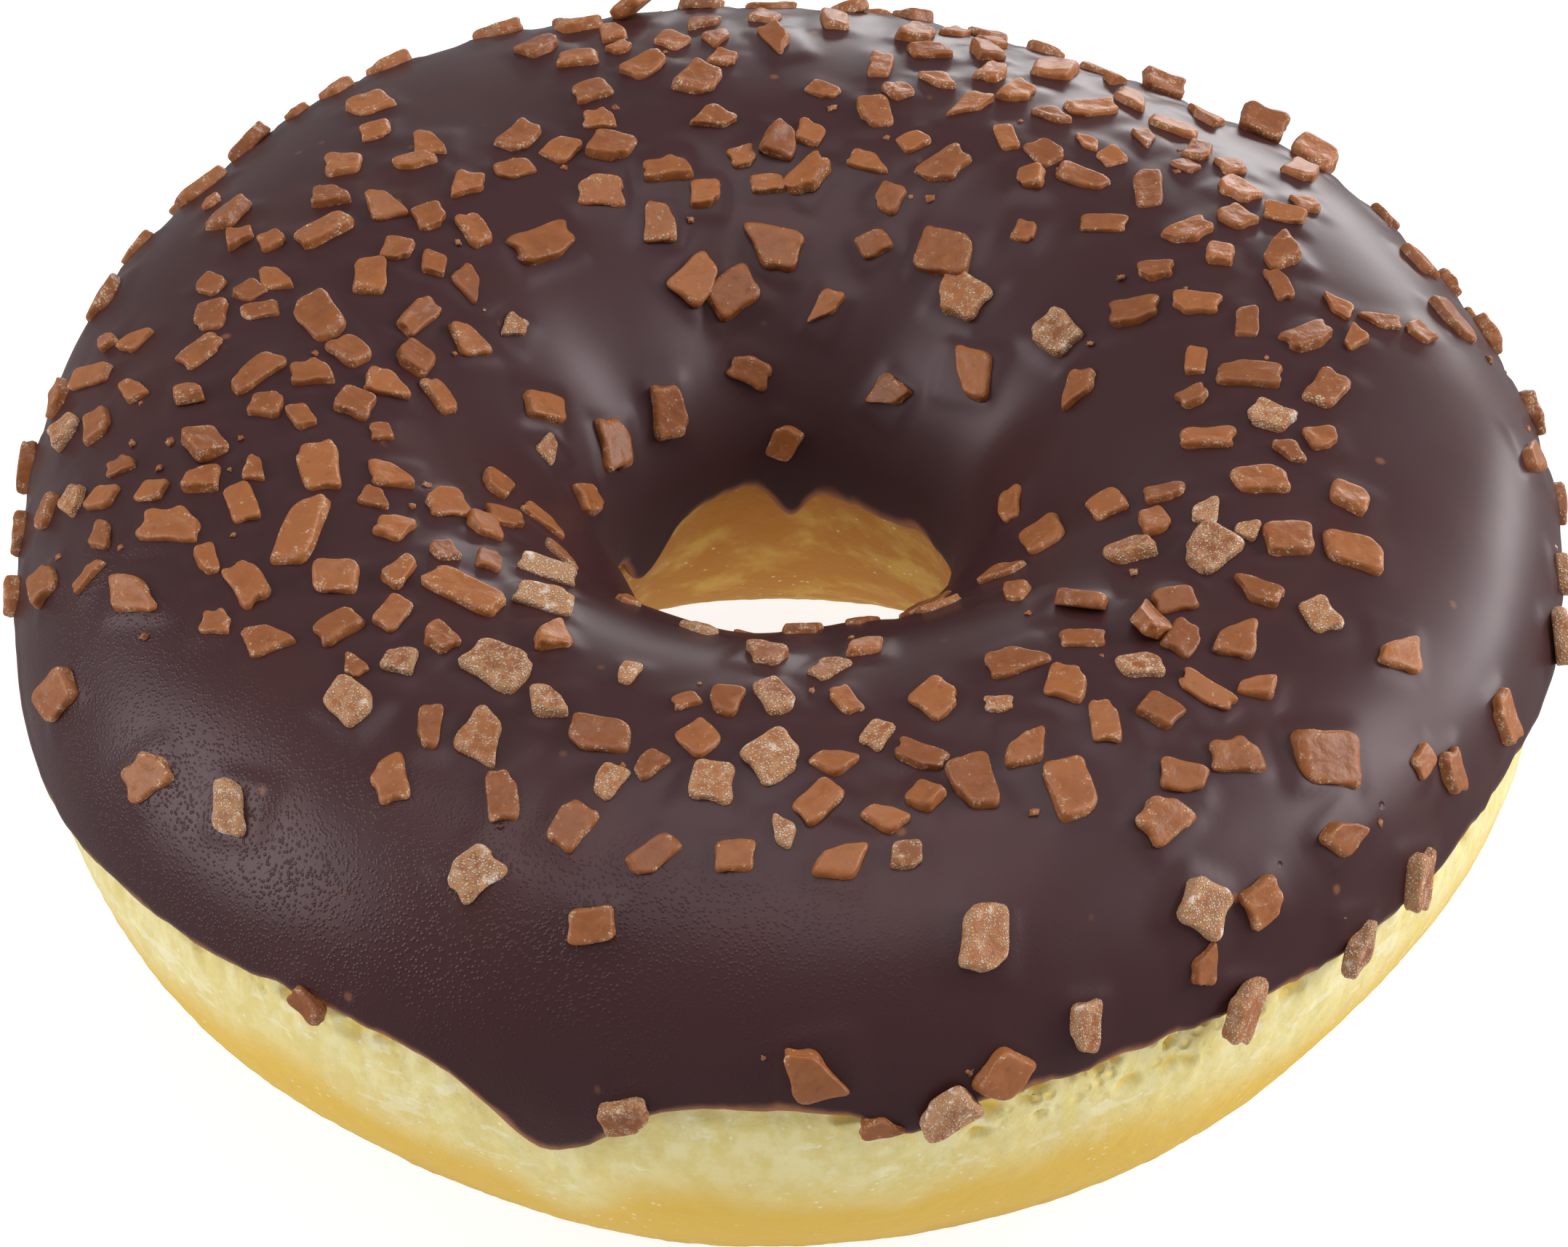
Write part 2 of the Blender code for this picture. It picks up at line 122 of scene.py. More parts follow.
sheet_shader.inputs["Roughness"].default_value = FLOOR_ROUGHNESS
sheet_shader.inputs["Emission Color"].default_value = (1.0, 1.0, 1.0, 1.0)
sheet_shader.inputs["Emission Strength"].default_value = FLOOR_GLOW
floor_data.materials.append(white_sheet)
floor.visible_glossy = False


# The dough ring. Yeast dough fried on both sides: a pale soft band round the girth, golden below it,
# browner in the hole. It rests on a narrow flat ring underneath, and where the icing ends the crust
# is torn and full of small holes. Bearings and climbs, in degrees, give a place on it.
DOUGH_RADIUS = 47.0 * MM
DOUGH_HEIGHT = 35.6 * MM
HOLE_RADIUS = 11.0 * MM
CREST_RADIUS = 28.0 * MM
GIRTH_HEIGHT = 22.7 * MM
BASE_CUT = 1.0 * MM
HOLE_OFFSET = Vector((-0.40, -0.35)) * MM
TOP_OUTER_POWER = 2.05
TOP_INNER_POWER = 1.6
UNDER_POWER = 1.7
OUTLINE_WAVES = (
    (1, -0.80 * MM, -0.44 * MM),
    (2, 0.93 * MM, 0.10 * MM),
    (3, 0.20 * MM, -0.72 * MM),
    (4, -0.30 * MM, 0.28 * MM),
)
LUMP_DEPTH = 0.22 * MM
# How square the section is in the middle of each quarter, at climbs of -45, 45, 135, 225 and 315.
SECTION_POWERS = (UNDER_POWER, TOP_OUTER_POWER, TOP_INNER_POWER, UNDER_POWER, UNDER_POWER)


def ease(share):
    """A share from 0 to 1, with a soft start and end."""
    share = np.clip(share, 0.0, 1.0)
    return share * share * (3 - 2 * share)


def angle_between(a, b):
    """Shortest way from one bearing to another, in degrees."""
    return (a - b + 180) % 360 - 180


def section_power(climb):
    """How square the section is at a climb, eased from one quarter to the next."""
    turned = (np.asarray(climb, float) + 45) / 90 % 4
    quarter = np.minimum(turned.astype(int), 3)
    low = np.take(SECTION_POWERS, quarter)
    high = np.take(SECTION_POWERS, quarter + 1)
    return low + (high - low) * ease(turned - quarter)


def section(climb):
    """Distance from the hole's axis and height of the dough, before any unevenness."""
    across = np.cos(np.radians(climb))
    up = np.sin(np.radians(climb))
    reach = np.where(across > 0, DOUGH_RADIUS - CREST_RADIUS, CREST_RADIUS - HOLE_RADIUS)
    rise = np.where(up > 0, DOUGH_HEIGHT - GIRTH_HEIGHT, GIRTH_HEIGHT + BASE_CUT)
    power = section_power(climb)
    size = (np.abs(across) ** power + np.abs(up) ** power) ** (-1 / power)
    return CREST_RADIUS + reach * across * size, GIRTH_HEIGHT + rise * up * size


def dough_points(bearing, climb):
    """Points on the dough's surface, cut flat where it rests."""
    radius, height = section(climb)
    turn = np.radians(bearing)
    rise = np.radians(climb)
    outwards = np.clip((radius - CREST_RADIUS) / (DOUGH_RADIUS - CREST_RADIUS), 0.0, 1.0)
    wave = sum(c * np.cos(n * turn) + s * np.sin(n * turn) for n, c, s in OUTLINE_WAVES)
    lump = np.sin(5 * turn + 1.3) * np.cos(2 * rise + 0.7) + 0.8 * np.sin(9 * turn - 0.4) * np.sin(3 * rise)
    radius = radius + wave * outwards + LUMP_DEPTH * lump * np.cos(rise)
    height = height + LUMP_DEPTH * lump * np.sin(rise)
    x = HOLE_OFFSET.x + radius * np.sin(turn)
    y = HOLE_OFFSET.y - radius * np.cos(turn)
    return np.stack(np.broadcast_arrays(x, y, np.maximum(height, 0.0)), -1)


def unit(vectors):
    """The same directions at a length of one."""
    return vectors / np.linalg.norm(vectors, axis=-1, keepdims=True)


def surface_frames(bearing, climb):
    """The dough's surface at places: the points, the way round, the way up and the way out."""
    step = 0.5
    round_ring = dough_points(bearing + step, climb) - dough_points(bearing - step, climb)
    up_section = dough_points(bearing, climb + step) - dough_points(bearing, climb - step)
    out = unit(np.cross(round_ring, up_section))
    round_ring = unit(round_ring)
    return dough_points(bearing, climb), round_ring, np.cross(out, round_ring), out


# Where the icing ends, because the crust below is torn there: its edge ripples, and has run down or
# drawn back in places. Each run is a bearing, a half width in degrees and a drop.
OUTER_EDGE_HEIGHT = 24.3 * MM
INNER_EDGE_HEIGHT = 20.2 * MM
OUTER_RIPPLE = 0.25 * MM
INNER_RIPPLE = 0.3 * MM
OUTER_CLIMBS = (-40, 60)
INNER_CLIMBS = (130, 225)
HALVINGS = 24
OUTER_RUNS = (
    (-15, 4.5, 4.0 * MM),
    (9, 3.0, 1.7 * MM),
    (-66, 12.0, 2.2 * MM),
    (-31, 9.0, -1.2 * MM),
    (78, 7.0, 0.9 * MM),
    (108, 8.0, 1.7 * MM),
    (141, 5.0, 3.0 * MM),
    (168, 9.0, -0.8 * MM),
    (-160, 7.0, 2.4 * MM),
    (-124, 6.0, 1.5 * MM),
)
INNER_RUNS = (
    (-129, 10.0, 4.0 * MM),
    (179, 6.5, 2.6 * MM),
    (60, 12.0, 1.6 * MM),
    (-35, 14.0, 2.2 * MM),
)


def edge_height(bearing, middle, runs, ripple):
    """Height of the icing's edge at a bearing, with its runs and a slow ripple."""
    turn = np.radians(bearing)
    height = middle + ripple * (np.sin(4 * turn + 0.6) + 0.6 * np.sin(11 * turn + 2.1))
    for at, half_width, drop in runs:
        height = height - drop * np.exp(-(angle_between(bearing, at) / half_width) ** 2)
    return height


def climb_at_height(height, low, high):
    """The climbs, between two others, at which the plain section passes some heights."""
    rising = section(high)[1] > section(low)[1]
    low = np.full(np.shape(height), float(low))
    high = np.full(np.shape(height), float(high))
    for _ in range(HALVINGS):
        middle = (low + high) / 2
        below = (section(middle)[1] < height) == rising
        low = np.where(below, middle, low)
        high = np.where(below, high, middle)
    return (low + high) / 2


def icing_edges(bearing):
    """The climbs where the icing ends, outside and in the hole."""
    outer = climb_at_height(edge_height(bearing, OUTER_EDGE_HEIGHT, OUTER_RUNS, OUTER_RIPPLE), *OUTER_CLIMBS)
    inner = climb_at_height(edge_height(bearing, INNER_EDGE_HEIGHT, INNER_RUNS, INNER_RIPPLE), *INNER_CLIMBS)
    return outer, inner


def noise_at(points, size, seed, turbulence=0):
    """Soft noise from about -1 to 1 at points, with features of a size in metres."""
    shift = Vector((seed * 1.7, seed * -2.3, seed * 0.9))
    if turbulence:
        return np.array([noise.fractal(Vector(p) / size + shift, 0.9, 2.0, turbulence) for p in points])
    return np.array([noise.noise(Vector(p) / size + shift) for p in points])


def ring_mesh(name, grid):
    """A closed mesh over a grid of points, indexed first round the ring and then round the section."""
    around, along = grid.shape[:2]
    index = np.arange(around * along).reshape(around, along)
    following = np.roll(index, -1, axis=0)
    corners = (index, following, np.roll(following, -1, axis=1), np.roll(index, -1, axis=1))
    faces = np.stack([c.ravel() for c in corners], -1)
    data = bpy.data.meshes.new(name)
    data.from_pydata(grid.reshape(-1, 3).tolist(), [], faces.tolist())
    data.shade_smooth()
    thing = bpy.data.objects.new(name, data)
    bpy.context.scene.collection.objects.link(thing)
    return thing


def store(thing, name, values):
    """Keep one number for each vertex, for the finish to read."""
    attribute = thing.data.attributes.new(name, "FLOAT", "POINT")
    attribute.data.foreach_set("value", np.ascontiguousarray(values, dtype=np.float32).ravel())


TORN_BAND = 4.2 * MM
TORN_PLACES = (
    # bearing, half width, how thickly the holes lie
    (26, 17, 1.0),
    (56, 9, 0.6),
    (-34, 12, 0.45),
    (-68, 10, 0.35),
    (98, 14, 0.6),
    (164, 20, 0.8),
    (-130, 18, 0.7),
)
SEEN_HOLES = (
    # bearing, drop below the icing's edge, half width, half height, slant
    (18.1, 0.75 * MM, 0.62 * MM, 0.62 * MM, 0.0),
    (22.6, 0.55 * MM, 1.00 * MM, 0.58 * MM, 0.1),
    (20.7, 0.40 * MM, 0.48 * MM, 0.50 * MM, 0.3),
    (14.2, 1.35 * MM, 0.80 * MM, 0.75 * MM, -0.2),
    (13.2, 0.60 * MM, 0.85 * MM, 0.42 * MM, 0.5),
    (16.5, 0.50 * MM, 0.42 * MM, 0.50 * MM, 0.0),
    (28.4, 0.95 * MM, 0.40 * MM, 0.32 * MM, 0.0),
    (5.3, 0.45 * MM, 1.20 * MM, 0.50 * MM, 0.0),
)
SEEN_HOLE_DEPTH = 0.75 * MM
PIT_COUNT = 340
PIT_SEED = 7
PIT_WIDTH = (0.25, 1.15, 0.45)
CRUST_ROUGHNESS = 0.10 * MM
TEAR_DEPTH = 0.12 * MM
TEAR_RELIEF = 0.20 * MM
SMOOTH_FOOT = 1.5 * MM
ALWAYS_ICED = (18, 160)


def torn_share(bearing):
    """How badly the crust is torn at a bearing, from 0 to 1."""
    shares = [share * np.exp(-(angle_between(bearing, at) / half_width) ** 4)
              for at, half_width, share in TORN_PLACES]
    return np.max(shares, axis=0)


def scattered_holes():
    """The small holes in the torn crust: the ones that were seen, then the rest as they fell."""
    draw = random.Random(PIT_SEED)
    found = [(at, drop, wide, tall, slant, SEEN_HOLE_DEPTH) for at, drop, wide, tall, slant in SEEN_HOLES]
    for _ in range(PIT_COUNT):
        bearing = draw.uniform(-180, 180)
        thickly = float(torn_share(bearing))
        drop = draw.triangular(-0.3, 3.6 * thickly + 0.5, 0.5) * MM
        wide = draw.triangular(*PIT_WIDTH) * MM
        tall = wide * draw.uniform(0.45, 0.9)
        depth = draw.uniform(0.30, 0.75) * MM
        slant = draw.uniform(-0.5, 0.5)
        if draw.random() < thickly:
            found.append((bearing, drop, wide, tall, slant, depth))
    return found


# Rows and columns are close together where the dough shows, and far apart under the icing and the base.
dough_rows = np.concatenate([
    np.arange(-62, 16, 0.8), np.arange(16, 165, 12.0), np.arange(165, 236, 3.0), np.arange(236, 298, 8.0),
])
bearings = np.concatenate([np.arange(-75, 75, 0.32), np.arange(75, 285, 0.95)])
bearing_grid, climb_grid = np.meshgrid(bearings, dough_rows, indexing="ij")
dough_grid, _, _, dough_out = surface_frames(bearing_grid, climb_grid)
outer_edge = edge_height(bearing_grid, OUTER_EDGE_HEIGHT, OUTER_RUNS, OUTER_RIPPLE)
inner_edge = edge_height(bearing_grid, INNER_EDGE_HEIGHT, INNER_RUNS, INNER_RIPPLE)
outside = np.cos(np.radians(climb_grid)) > 0
below_edge = np.where(outside, outer_edge, inner_edge) - dough_grid[..., 2]
flat_points = dough_grid.reshape(-1, 3)
torn = np.exp(-(np.maximum(below_edge, 0) / TORN_BAND) ** 2) * outside * (below_edge > -3 * MM)
crust = noise_at(flat_points, 2.2 * MM, 3, 3).reshape(below_edge.shape)
fine_crust = noise_at(flat_points, 0.75 * MM, 8, 2).reshape(below_edge.shape)
tear = noise_at(flat_points * (1.0, 1.0, 0.45), 1.1 * MM, 5, 2).reshape(below_edge.shape)
relief = CRUST_ROUGHNESS * (crust - 0.4) * 0.6 + CRUST_ROUGHNESS * 0.35 * fine_crust
relief -= torn * (TEAR_DEPTH + TEAR_RELIEF * np.clip(tear, -0.4, 1.0))
holes = np.zeros(relief.shape)
for at, drop, wide, tall, slant, depth in scattered_holes():
    edge_here = float(edge_height(at, OUTER_EDGE_HEIGHT, OUTER_RUNS, OUTER_RIPPLE))
    beside = angle_between(bearing_grid, at) * math.radians(1) * DOUGH_RADIUS
    above = dough_grid[..., 2] - edge_here + drop - slant * beside
    far = (np.hypot(beside / wide, above / tall) * (1 + 0.35 * tear)) ** 6
    holes = np.maximum(holes, depth * np.exp(-far))
relief -= holes * outside
relief *= ease(dough_grid[..., 2] / SMOOTH_FOOT)
always_iced = (climb_grid > ALWAYS_ICED[0]) & (climb_grid < ALWAYS_ICED[1])
under_icing = always_iced | (below_edge < -1.5 * MM)
dough_grid = dough_grid + dough_out * np.where(under_icing, np.minimum(relief, 0), relief)[..., None]
dough_grid[..., 2] = np.maximum(dough_grid[..., 2], 0.0)
dough = ring_mesh("dough_ring", dough_grid)
store(dough, "below_edge", below_edge / MM)
store(dough, "hollow", np.clip(holes / (0.7 * MM), 0, 1))
store(dough, "torn", torn ** 2 * torn_share(bearing_grid))
from_axis = np.hypot(dough_grid[..., 0], dough_grid[..., 1])
store(dough, "in_hole", np.where(outside, 0.0, ease((CREST_RADIUS - from_axis) / (9 * MM))))


class Wire:
    """A node socket written as a value: sums and products of wires add the Math nodes that they need."""

    def __init__(self, tree, socket=None):
        self.tree = tree
        self.socket = socket

    def node(self, kind, settings=None, values=None, out=0):
        """Add a node, its settings first, then its sockets' values or links, and return one output."""
        made = self.tree.nodes.new(kind)
        for name, value in (settings or {}).items():
            setattr(made, name, value)
        for name, value in (values or {}).items():
            if isinstance(value, Wire):
                self.tree.links.new(value.socket, made.inputs[name])
            else:
                made.inputs[name].default_value = value
        return Wire(self.tree, made.outputs[out])

    def maths(self, operation, first, second):
        return self.node("ShaderNodeMath", {"operation": operation}, {0: first, 1: second})

    def __add__(self, other):
        return self.maths("ADD", self, other)

    def __radd__(self, other):
        return self.maths("ADD", other, self)

    def __sub__(self, other):
        return self.maths("SUBTRACT", self, other)

    def __rsub__(self, other):
        return self.maths("SUBTRACT", other, self)

    def __mul__(self, other):
        return self.maths("MULTIPLY", self, other)

    def __rmul__(self, other):
        return self.maths("MULTIPLY", other, self)

    def __pow__(self, other):
        return self.maths("POWER", self, other)

    def band(self, low, high):
        """0 below low, 1 above high, eased between them."""
        settings = {"interpolation_type": "SMOOTHSTEP"}
        return self.node("ShaderNodeMapRange", settings, {0: self, 1: low, 2: high, 3: 0.0, 4: 1.0})

    def attribute(self, name):
        """A number kept on the mesh."""
        return self.node("ShaderNodeAttribute", {"attribute_name": name}, out=2)

    def noise(self, size, detail=2.0, roughness=0.5, stretch=(1.0, 1.0, 1.0)):
        """Soft noise from 0 to 1 with features of a size in metres, on the object's own coordinates."""
        place = self.node("ShaderNodeTexCoord", out=3)
        place = self.node("ShaderNodeVectorMath", {"operation": "MULTIPLY"}, {0: place, 1: stretch})
        return self.node("ShaderNodeTexNoise", values={
            "Vector": place, "Scale": 1 / size, "Detail": detail, "Roughness": roughness,
        })

    def cells(self, size):
        """Distance to scattered points, about a size in metres apart, in units of that size."""
        place = self.node("ShaderNodeTexCoord", out=3)
        return self.node("ShaderNodeTexVoronoi", values={"Vector": place, "Scale": 1 / size})

    def mix(self, first, second):
        """From one colour to another as this wire goes from 0 to 1."""
        return self.node("ShaderNodeMix", {"data_type": "RGBA"}, {0: self, 6: first, 7: second}, out=2)

    def bump(self, height, normal=None):
        """A normal tipped by this height, a wire from 0 to 1 that stands for a depth in metres."""
        values = {"Height": self, "Distance": height, "Strength": 1.0}
        if normal:
            values["Normal"] = normal
        return self.node("ShaderNodeBump", values=values)


def finish(name, constants):
    """A new finish: its material, a wire to start from, and a way to join a wire to its shader."""
    material = bpy.data.materials.new(name)
    material.use_nodes = True
    shader = material.node_tree.nodes["Principled BSDF"]
    for socket, value in constants.items():
        shader.inputs[socket].default_value = value

    def join(socket, wire):
        material.node_tree.links.new(wire.socket, shader.inputs[socket])

    return material, Wire(material.node_tree), join


PALE_DOUGH = (0.70, 0.57, 0.20, 1.0)
CREAM_DOUGH = (0.78, 0.70, 0.37, 1.0)
GOLDEN_DOUGH = (0.71, 0.455, 0.062, 1.0)
BROWN_DOUGH = (0.56, 0.29, 0.05, 1.0)
HOLE_DOUGH = (0.51, 0.215, 0.006, 1.0)
HOLE_DOUGH_PALE = (0.63, 0.38, 0.055, 1.0)
# The yellow crumb inside the torn crust's bubbles and holes, brightened past its own colour as painted light
# that lifts the shade inside them.
POCKET_CRUMB_PAINTED_LIGHT = (0.98, 0.76, 0.16, 1.0)
FLOUR_WHITE = (0.86, 0.80, 0.60, 1.0)
PALE_BAND = 8.0

crust_finish, start, join = finish("fried dough", {
    "Specular IOR Level": 0.35,
    "Subsurface Weight": 0.15,
    "Subsurface Radius": (1.0, 0.62, 0.25),
    "Subsurface Scale": 0.0016,
})
depth_below = start.attribute("below_edge")
patches = start.noise(11 * MM, 2.0)
streaks = start.noise(1.5 * MM, 4.0, 0.65, (1.0, 1.0, 0.7))
blotches = start.noise(4 * MM, 3.0, 0.6)
golden = (depth_below + 7.0 * (patches - 0.5) + 1.5 * (streaks - 0.5)).band(PALE_BAND * 0.5, PALE_BAND * 1.3)
colour = (0.1 + 0.75 * streaks.band(0.36, 0.66)).mix(PALE_DOUGH, CREAM_DOUGH)
colour = golden.mix(colour, GOLDEN_DOUGH)
colour = ((depth_below + 5.0 * (blotches - 0.5)).band(14.0, 22.0) * 0.7).mix(colour, BROWN_DOUGH)
in_hole = start.attribute("in_hole")
colour = in_hole.mix(colour, blotches.band(0.45, 0.70).mix(HOLE_DOUGH, HOLE_DOUGH_PALE))
foam = (1.0 - start.cells(1.0 * MM).band(0.08, 0.55)) * start.noise(3 * MM, 2.0).band(0.36, 0.56)
foam = foam * start.attribute("torn").band(0.15, 0.7)
# Painted light: the open bubbles and the holes of the torn crust take the brightened crumb colour, which
# lifts the shade in them.
colour = (foam * 0.55).mix(colour, POCKET_CRUMB_PAINTED_LIGHT)
colour = (start.attribute("hollow").band(0.1, 0.9) * 0.8).mix(colour, POCKET_CRUMB_PAINTED_LIGHT)
flakes = start.noise(2.4 * MM, 3.0, 0.6, (0.7, 0.7, 1.5)).band(0.60, 0.66) * (1.0 - golden) * (1.0 - in_hole)
colour = (flakes * 0.4).mix(colour, FLOUR_WHITE)
grains = 1.0 - start.cells(0.9 * MM).band(0.07, 0.19)
colour = (grains * start.noise(5 * MM, 1.0).band(0.42, 0.58) * 0.6).mix(colour, FLOUR_WHITE)
join("Base Color", colour)
join("Roughness", 0.48 + 0.25 * start.noise(1.2 * MM, 3.0))
skin = start.noise(1.3 * MM, 4.0, 0.6).bump(0.15 * MM, (1.0 - foam).bump(0.28 * MM))
join("Normal", start.noise(0.30 * MM, 2.0, 0.6).bump(0.035 * MM, skin))
dough.data.materials.append(crust_finish)
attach(dough, "root")
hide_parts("dough")


# The caramel chips. Flat squares, oblongs and shards broken from a thin slab of caramel, strewn on the
# icing while it was wet, thickest on the crest. They sank in by up to 0.6 of their thickness, and some
# carry a frost of sugar.
Chip = namedtuple("Chip", "bearing climb long short turn lean sugared kind")
CHIP_SEED = 20
CHIP_COUNT = 342
CHIP_KINDS = 12
CHIP_THICKNESS = 1.05 * MM
CHIP_FULL_WIDTH = 2.3 * MM
CHIP_SUNK_SHARE = 0.62
CHIP_SUNK_LIMIT = 0.7
CHIP_THINNEST = 0.7
CHIP_LEAN_LIFT = 0.53
CHIP_SPACING = 0.47
CHIP_LONG = (1.5, 4.6, 2.8)
CHIP_SHORT = (1.3, 3.1, 2.2)
CHIP_OUTER_ROOM = 12
CHIP_INNER_ROOM = 9
OUTLINE_SEED = 100
WEAR_SEED = 300
CREST_CLIMB = 84
CLIMB_SPREAD = 26
CREST_SHARE = 0.92
FLAT_SHARE = 0.86
SUGARED_SHARE = 0.10
SUGARED_IN_FRONT = 0.16
ICING_GAP = 0.3 * MM
ICING_AT_EDGE = 0.7 * MM
ICING_EXTRA_ON_CREST = 0.4 * MM


def icing_thickness(climb):
    """The icing is thickest on the crest, where it set last."""
    return ICING_AT_EDGE + ICING_EXTRA_ON_CREST * np.maximum(np.sin(np.radians(climb)), 0.0)


def placed_chips():
    """The chips that stand out, in front and along the outline, each where it was seen."""
    seen = (
        # bearing, climb, long, short, turn, lean, sugared
        (-66, 24, 3.6, 2.8, 80, 10, 0), (-53, 32, 3.4, 3.0, 70, 8, 0), (-44, 40, 3.5, 3.3, 20, 12, 1),
        (-24, 49, 3.3, 3.1, 60, 8, 1), (-14, 45, 2.7, 2.4, 10, 10, 0), (-18, 61, 3.2, 2.4, 75, 6, 0),
        (3, 20, 4.0, 3.4, 8, 14, 0), (15, 41, 4.2, 2.9, 75, 12, 1), (32, 35, 3.6, 3.5, 40, 10, 1),
        (37, 30, 2.9, 2.7, 5, 6, 0), (31, 24, 2.7, 1.9, 70, 8, 0), (21, 20, 3.2, 2.1, 75, 20, 1),
        (48, 47, 4.5, 3.6, -35, 12, 0), (41, 57, 3.4, 2.5, -25, 6, 0), (46, 34, 3.9, 2.5, 15, 14, 0),
        (58, 26, 2.8, 2.4, 70, 8, 0), (56, 33, 1.9, 1.8, 0, 6, 0), (67, 20, 3.4, 2.6, 80, 6, 0),
        (62, 51, 3.3, 3.0, 30, 4, 0), (80, 10, 3.6, 3.2, 60, 16, 1), (-33, 12, 2.8, 1.8, -25, 10, 0),
        (-10, 6, 3.1, 2.3, 15, 12, 1), (7, 5, 2.7, 1.7, 5, 8, 0), (11, 8, 3.7, 3.3, 25, 20, 1),
        (15, 14, 3.2, 3.0, 50, 10, 0), (33, 9, 4.0, 3.0, 65, 22, 1), (44, 9, 4.0, 2.6, 70, 20, 1),
        (51, 12, 3.9, 2.9, 65, 12, 1), (-44, 118, 3.6, 1.8, 35, 38, 2), (-37, 106, 3.7, 2.0, 30, 32, 2),
        (44, 88, 4.0, 2.8, 80, 36, 0), (41, 98, 3.4, 2.2, -60, -36, 0), (50, 88, 3.1, 1.9, -35, 28, 0),
        (46, 80, 2.9, 2.2, 12, 10, 0), (67, 95, 2.5, 2.0, 15, 4, 2), (60, 90, 3.8, 3.3, -10, 14, 1),
        (-65, 82, 6.0, 2.6, -35, 10, 0), (-73, 60, 4.2, 2.8, 60, 10, 0), (-67, 51, 5.0, 2.6, 50, 16, 0),
        (-61, 69, 4.0, 2.5, 0, 6, 0), (-44, 96, 5.2, 2.6, 5, 6, 0), (-33, 86, 4.2, 3.2, 0, 6, 1),
        (-28, 72, 4.0, 3.2, -10, 5, 1), (-19, 79, 3.9, 2.6, 10, 4, 0), (-7, 73, 3.3, 2.9, 85, 8, 1),
        (-1, 79, 3.5, 3.3, 35, 8, 1), (29, 92, 4.0, 2.8, -5, 4, 0), (18, 70, 3.8, 3.0, 85, 4, 0),
        (26, 64, 4.1, 2.9, 85, 4, 0), (32, 53, 3.3, 3.0, 20, 6, 0), (5, 60, 3.7, 2.6, 65, 8, 0),
        (-135, 112, 4.6, 3.0, -10, 6, 0), (-167, 137, 3.4, 3.0, 20, 8, 0), (-142, 160, 3.6, 2.4, 80, 6, 0),
        (148, 159, 3.0, 2.4, 75, 8, 0), (180, 174, 2.6, 2.0, 70, 4, 0), (137, 40, 3.6, 3.2, 30, -34, 0),
        (-166, 50, 3.6, 3.0, 60, 36, 0), (-176, 126, 4.2, 3.5, -15, 6, 0), (-160, 132, 3.5, 3.0, 30, 6, 0),
        (150, 121, 3.9, 3.4, 10, 6, 0), (142, 129, 3.7, 3.4, 0, 8, 1), (131, 144, 3.9, 3.4, 20, 6, 0),
        (-119, 160, 3.5, 2.8, 60, 6, 0), (-107, 139, 3.1, 2.3, -60, 8, 0), (120, 123, 3.4, 2.9, 5, 6, 1),
        (171, 142, 3.2, 1.5, 70, 10, 0), (-146, 39, 2.9, 2.4, 5, 14, 0), (-141, 39, 2.6, 2.2, 12, 18, 0),
        (-137, 36, 1.9, 1.7, 10, 16, 0), (-132, 36, 3.6, 2.6, 15, 24, 0), (-125, 38, 4.0, 2.2, -28, 16, 0),
        (-118, 58, 3.0, 2.3, 0, 18, 0), (-121, 49, 1.5, 1.3, 30, 10, 0), (-117, 32, 2.8, 2.0, 0, 14, 0),
        (-110, 35, 4.0, 2.8, 5, 12, 0), (-98, 42, 4.0, 1.8, 60, 14, 0), (-99, 30, 2.8, 2.3, 10, 12, 0),
        (-96, 13, 3.2, 2.4, 0, 16, 0), (-89, 12, 2.8, 2.0, 0, 8, 0), (-82, 12, 2.8, 2.2, 0, 16, 0),
        (-85, 30, 2.6, 2.0, -30, 8, 0), (-155, 43, 3.4, 2.6, 5, 18, 0), (-156, 60, 3.0, 2.4, 10, 8, 0),
        (-161, 52, 3.0, 2.4, 5, 8, 0), (-172, 46, 3.2, 2.2, -20, 22, 0), (175, 49, 2.4, 2.0, 60, 30, 0),
        (158, 44, 2.6, 2.2, 5, 12, 0), (152, 48, 2.8, 1.8, 0, 8, 0), (147, 41, 3.0, 2.4, 40, -34, 0),
        (141, 51, 3.8, 1.8, 0, 8, 0), (132, 37, 3.4, 3.0, 20, -32, 0), (124, 35, 2.4, 1.8, 0, 10, 0),
        (116, 41, 3.0, 2.2, 10, 8, 0), (117, 29, 2.6, 2.2, 10, 14, 0), (107, 45, 4.0, 2.6, 10, 6, 0),
        (110, 27, 3.0, 2.4, 0, 16, 0), (103, 20, 3.8, 2.4, 0, 16, 0), (94, 32, 3.4, 3.0, 30, 8, 0),
        (95, 13, 3.0, 2.0, 0, 14, 0), (86, 15, 2.6, 1.8, 40, 20, 1),
    )
    chips = []
    for k, (bearing, climb, long, short, turn, lean, sugared) in enumerate(seen):
        chips.append(Chip(bearing, climb, long * MM, short * MM, turn, lean, sugared, k % CHIP_KINDS))
    return chips


# Where the strewn chips gathered and where they left the icing bare: a bearing, a climb and a half width
# of each. Hardly any lie low on the front, where only the placed ones do.
GATHERINGS = (
    (5, 73, 25), (-76, 53, 15), (-72, 82, 20), (-48, 98, 17), (50, 84, 17), (78, 92, 17), (106, 88, 14),
    (134, 76, 16), (161, 52, 13), (162, 92, 14), (-166, 68, 12), (-136, 100, 16), (-106, 82, 17),
)
BARE_PATCHES = (
    (-12, 98, 13), (-150, 72, 11), (20, 108, 16), (96, 110, 13), (82, 60, 14), (-140, 48, 16),
    (-150, 138, 42), (145, 136, 32),
)
GATHERING_HEIGHT = 14
BARE_HEIGHT = 13
BARE_SHARE = 0.9
STRAY_DENSITY = 0.09
LOW_FRONT_WIDTH = 64
LOW_FRONT_CLIMB = 40
LOW_FRONT_FADE = 17


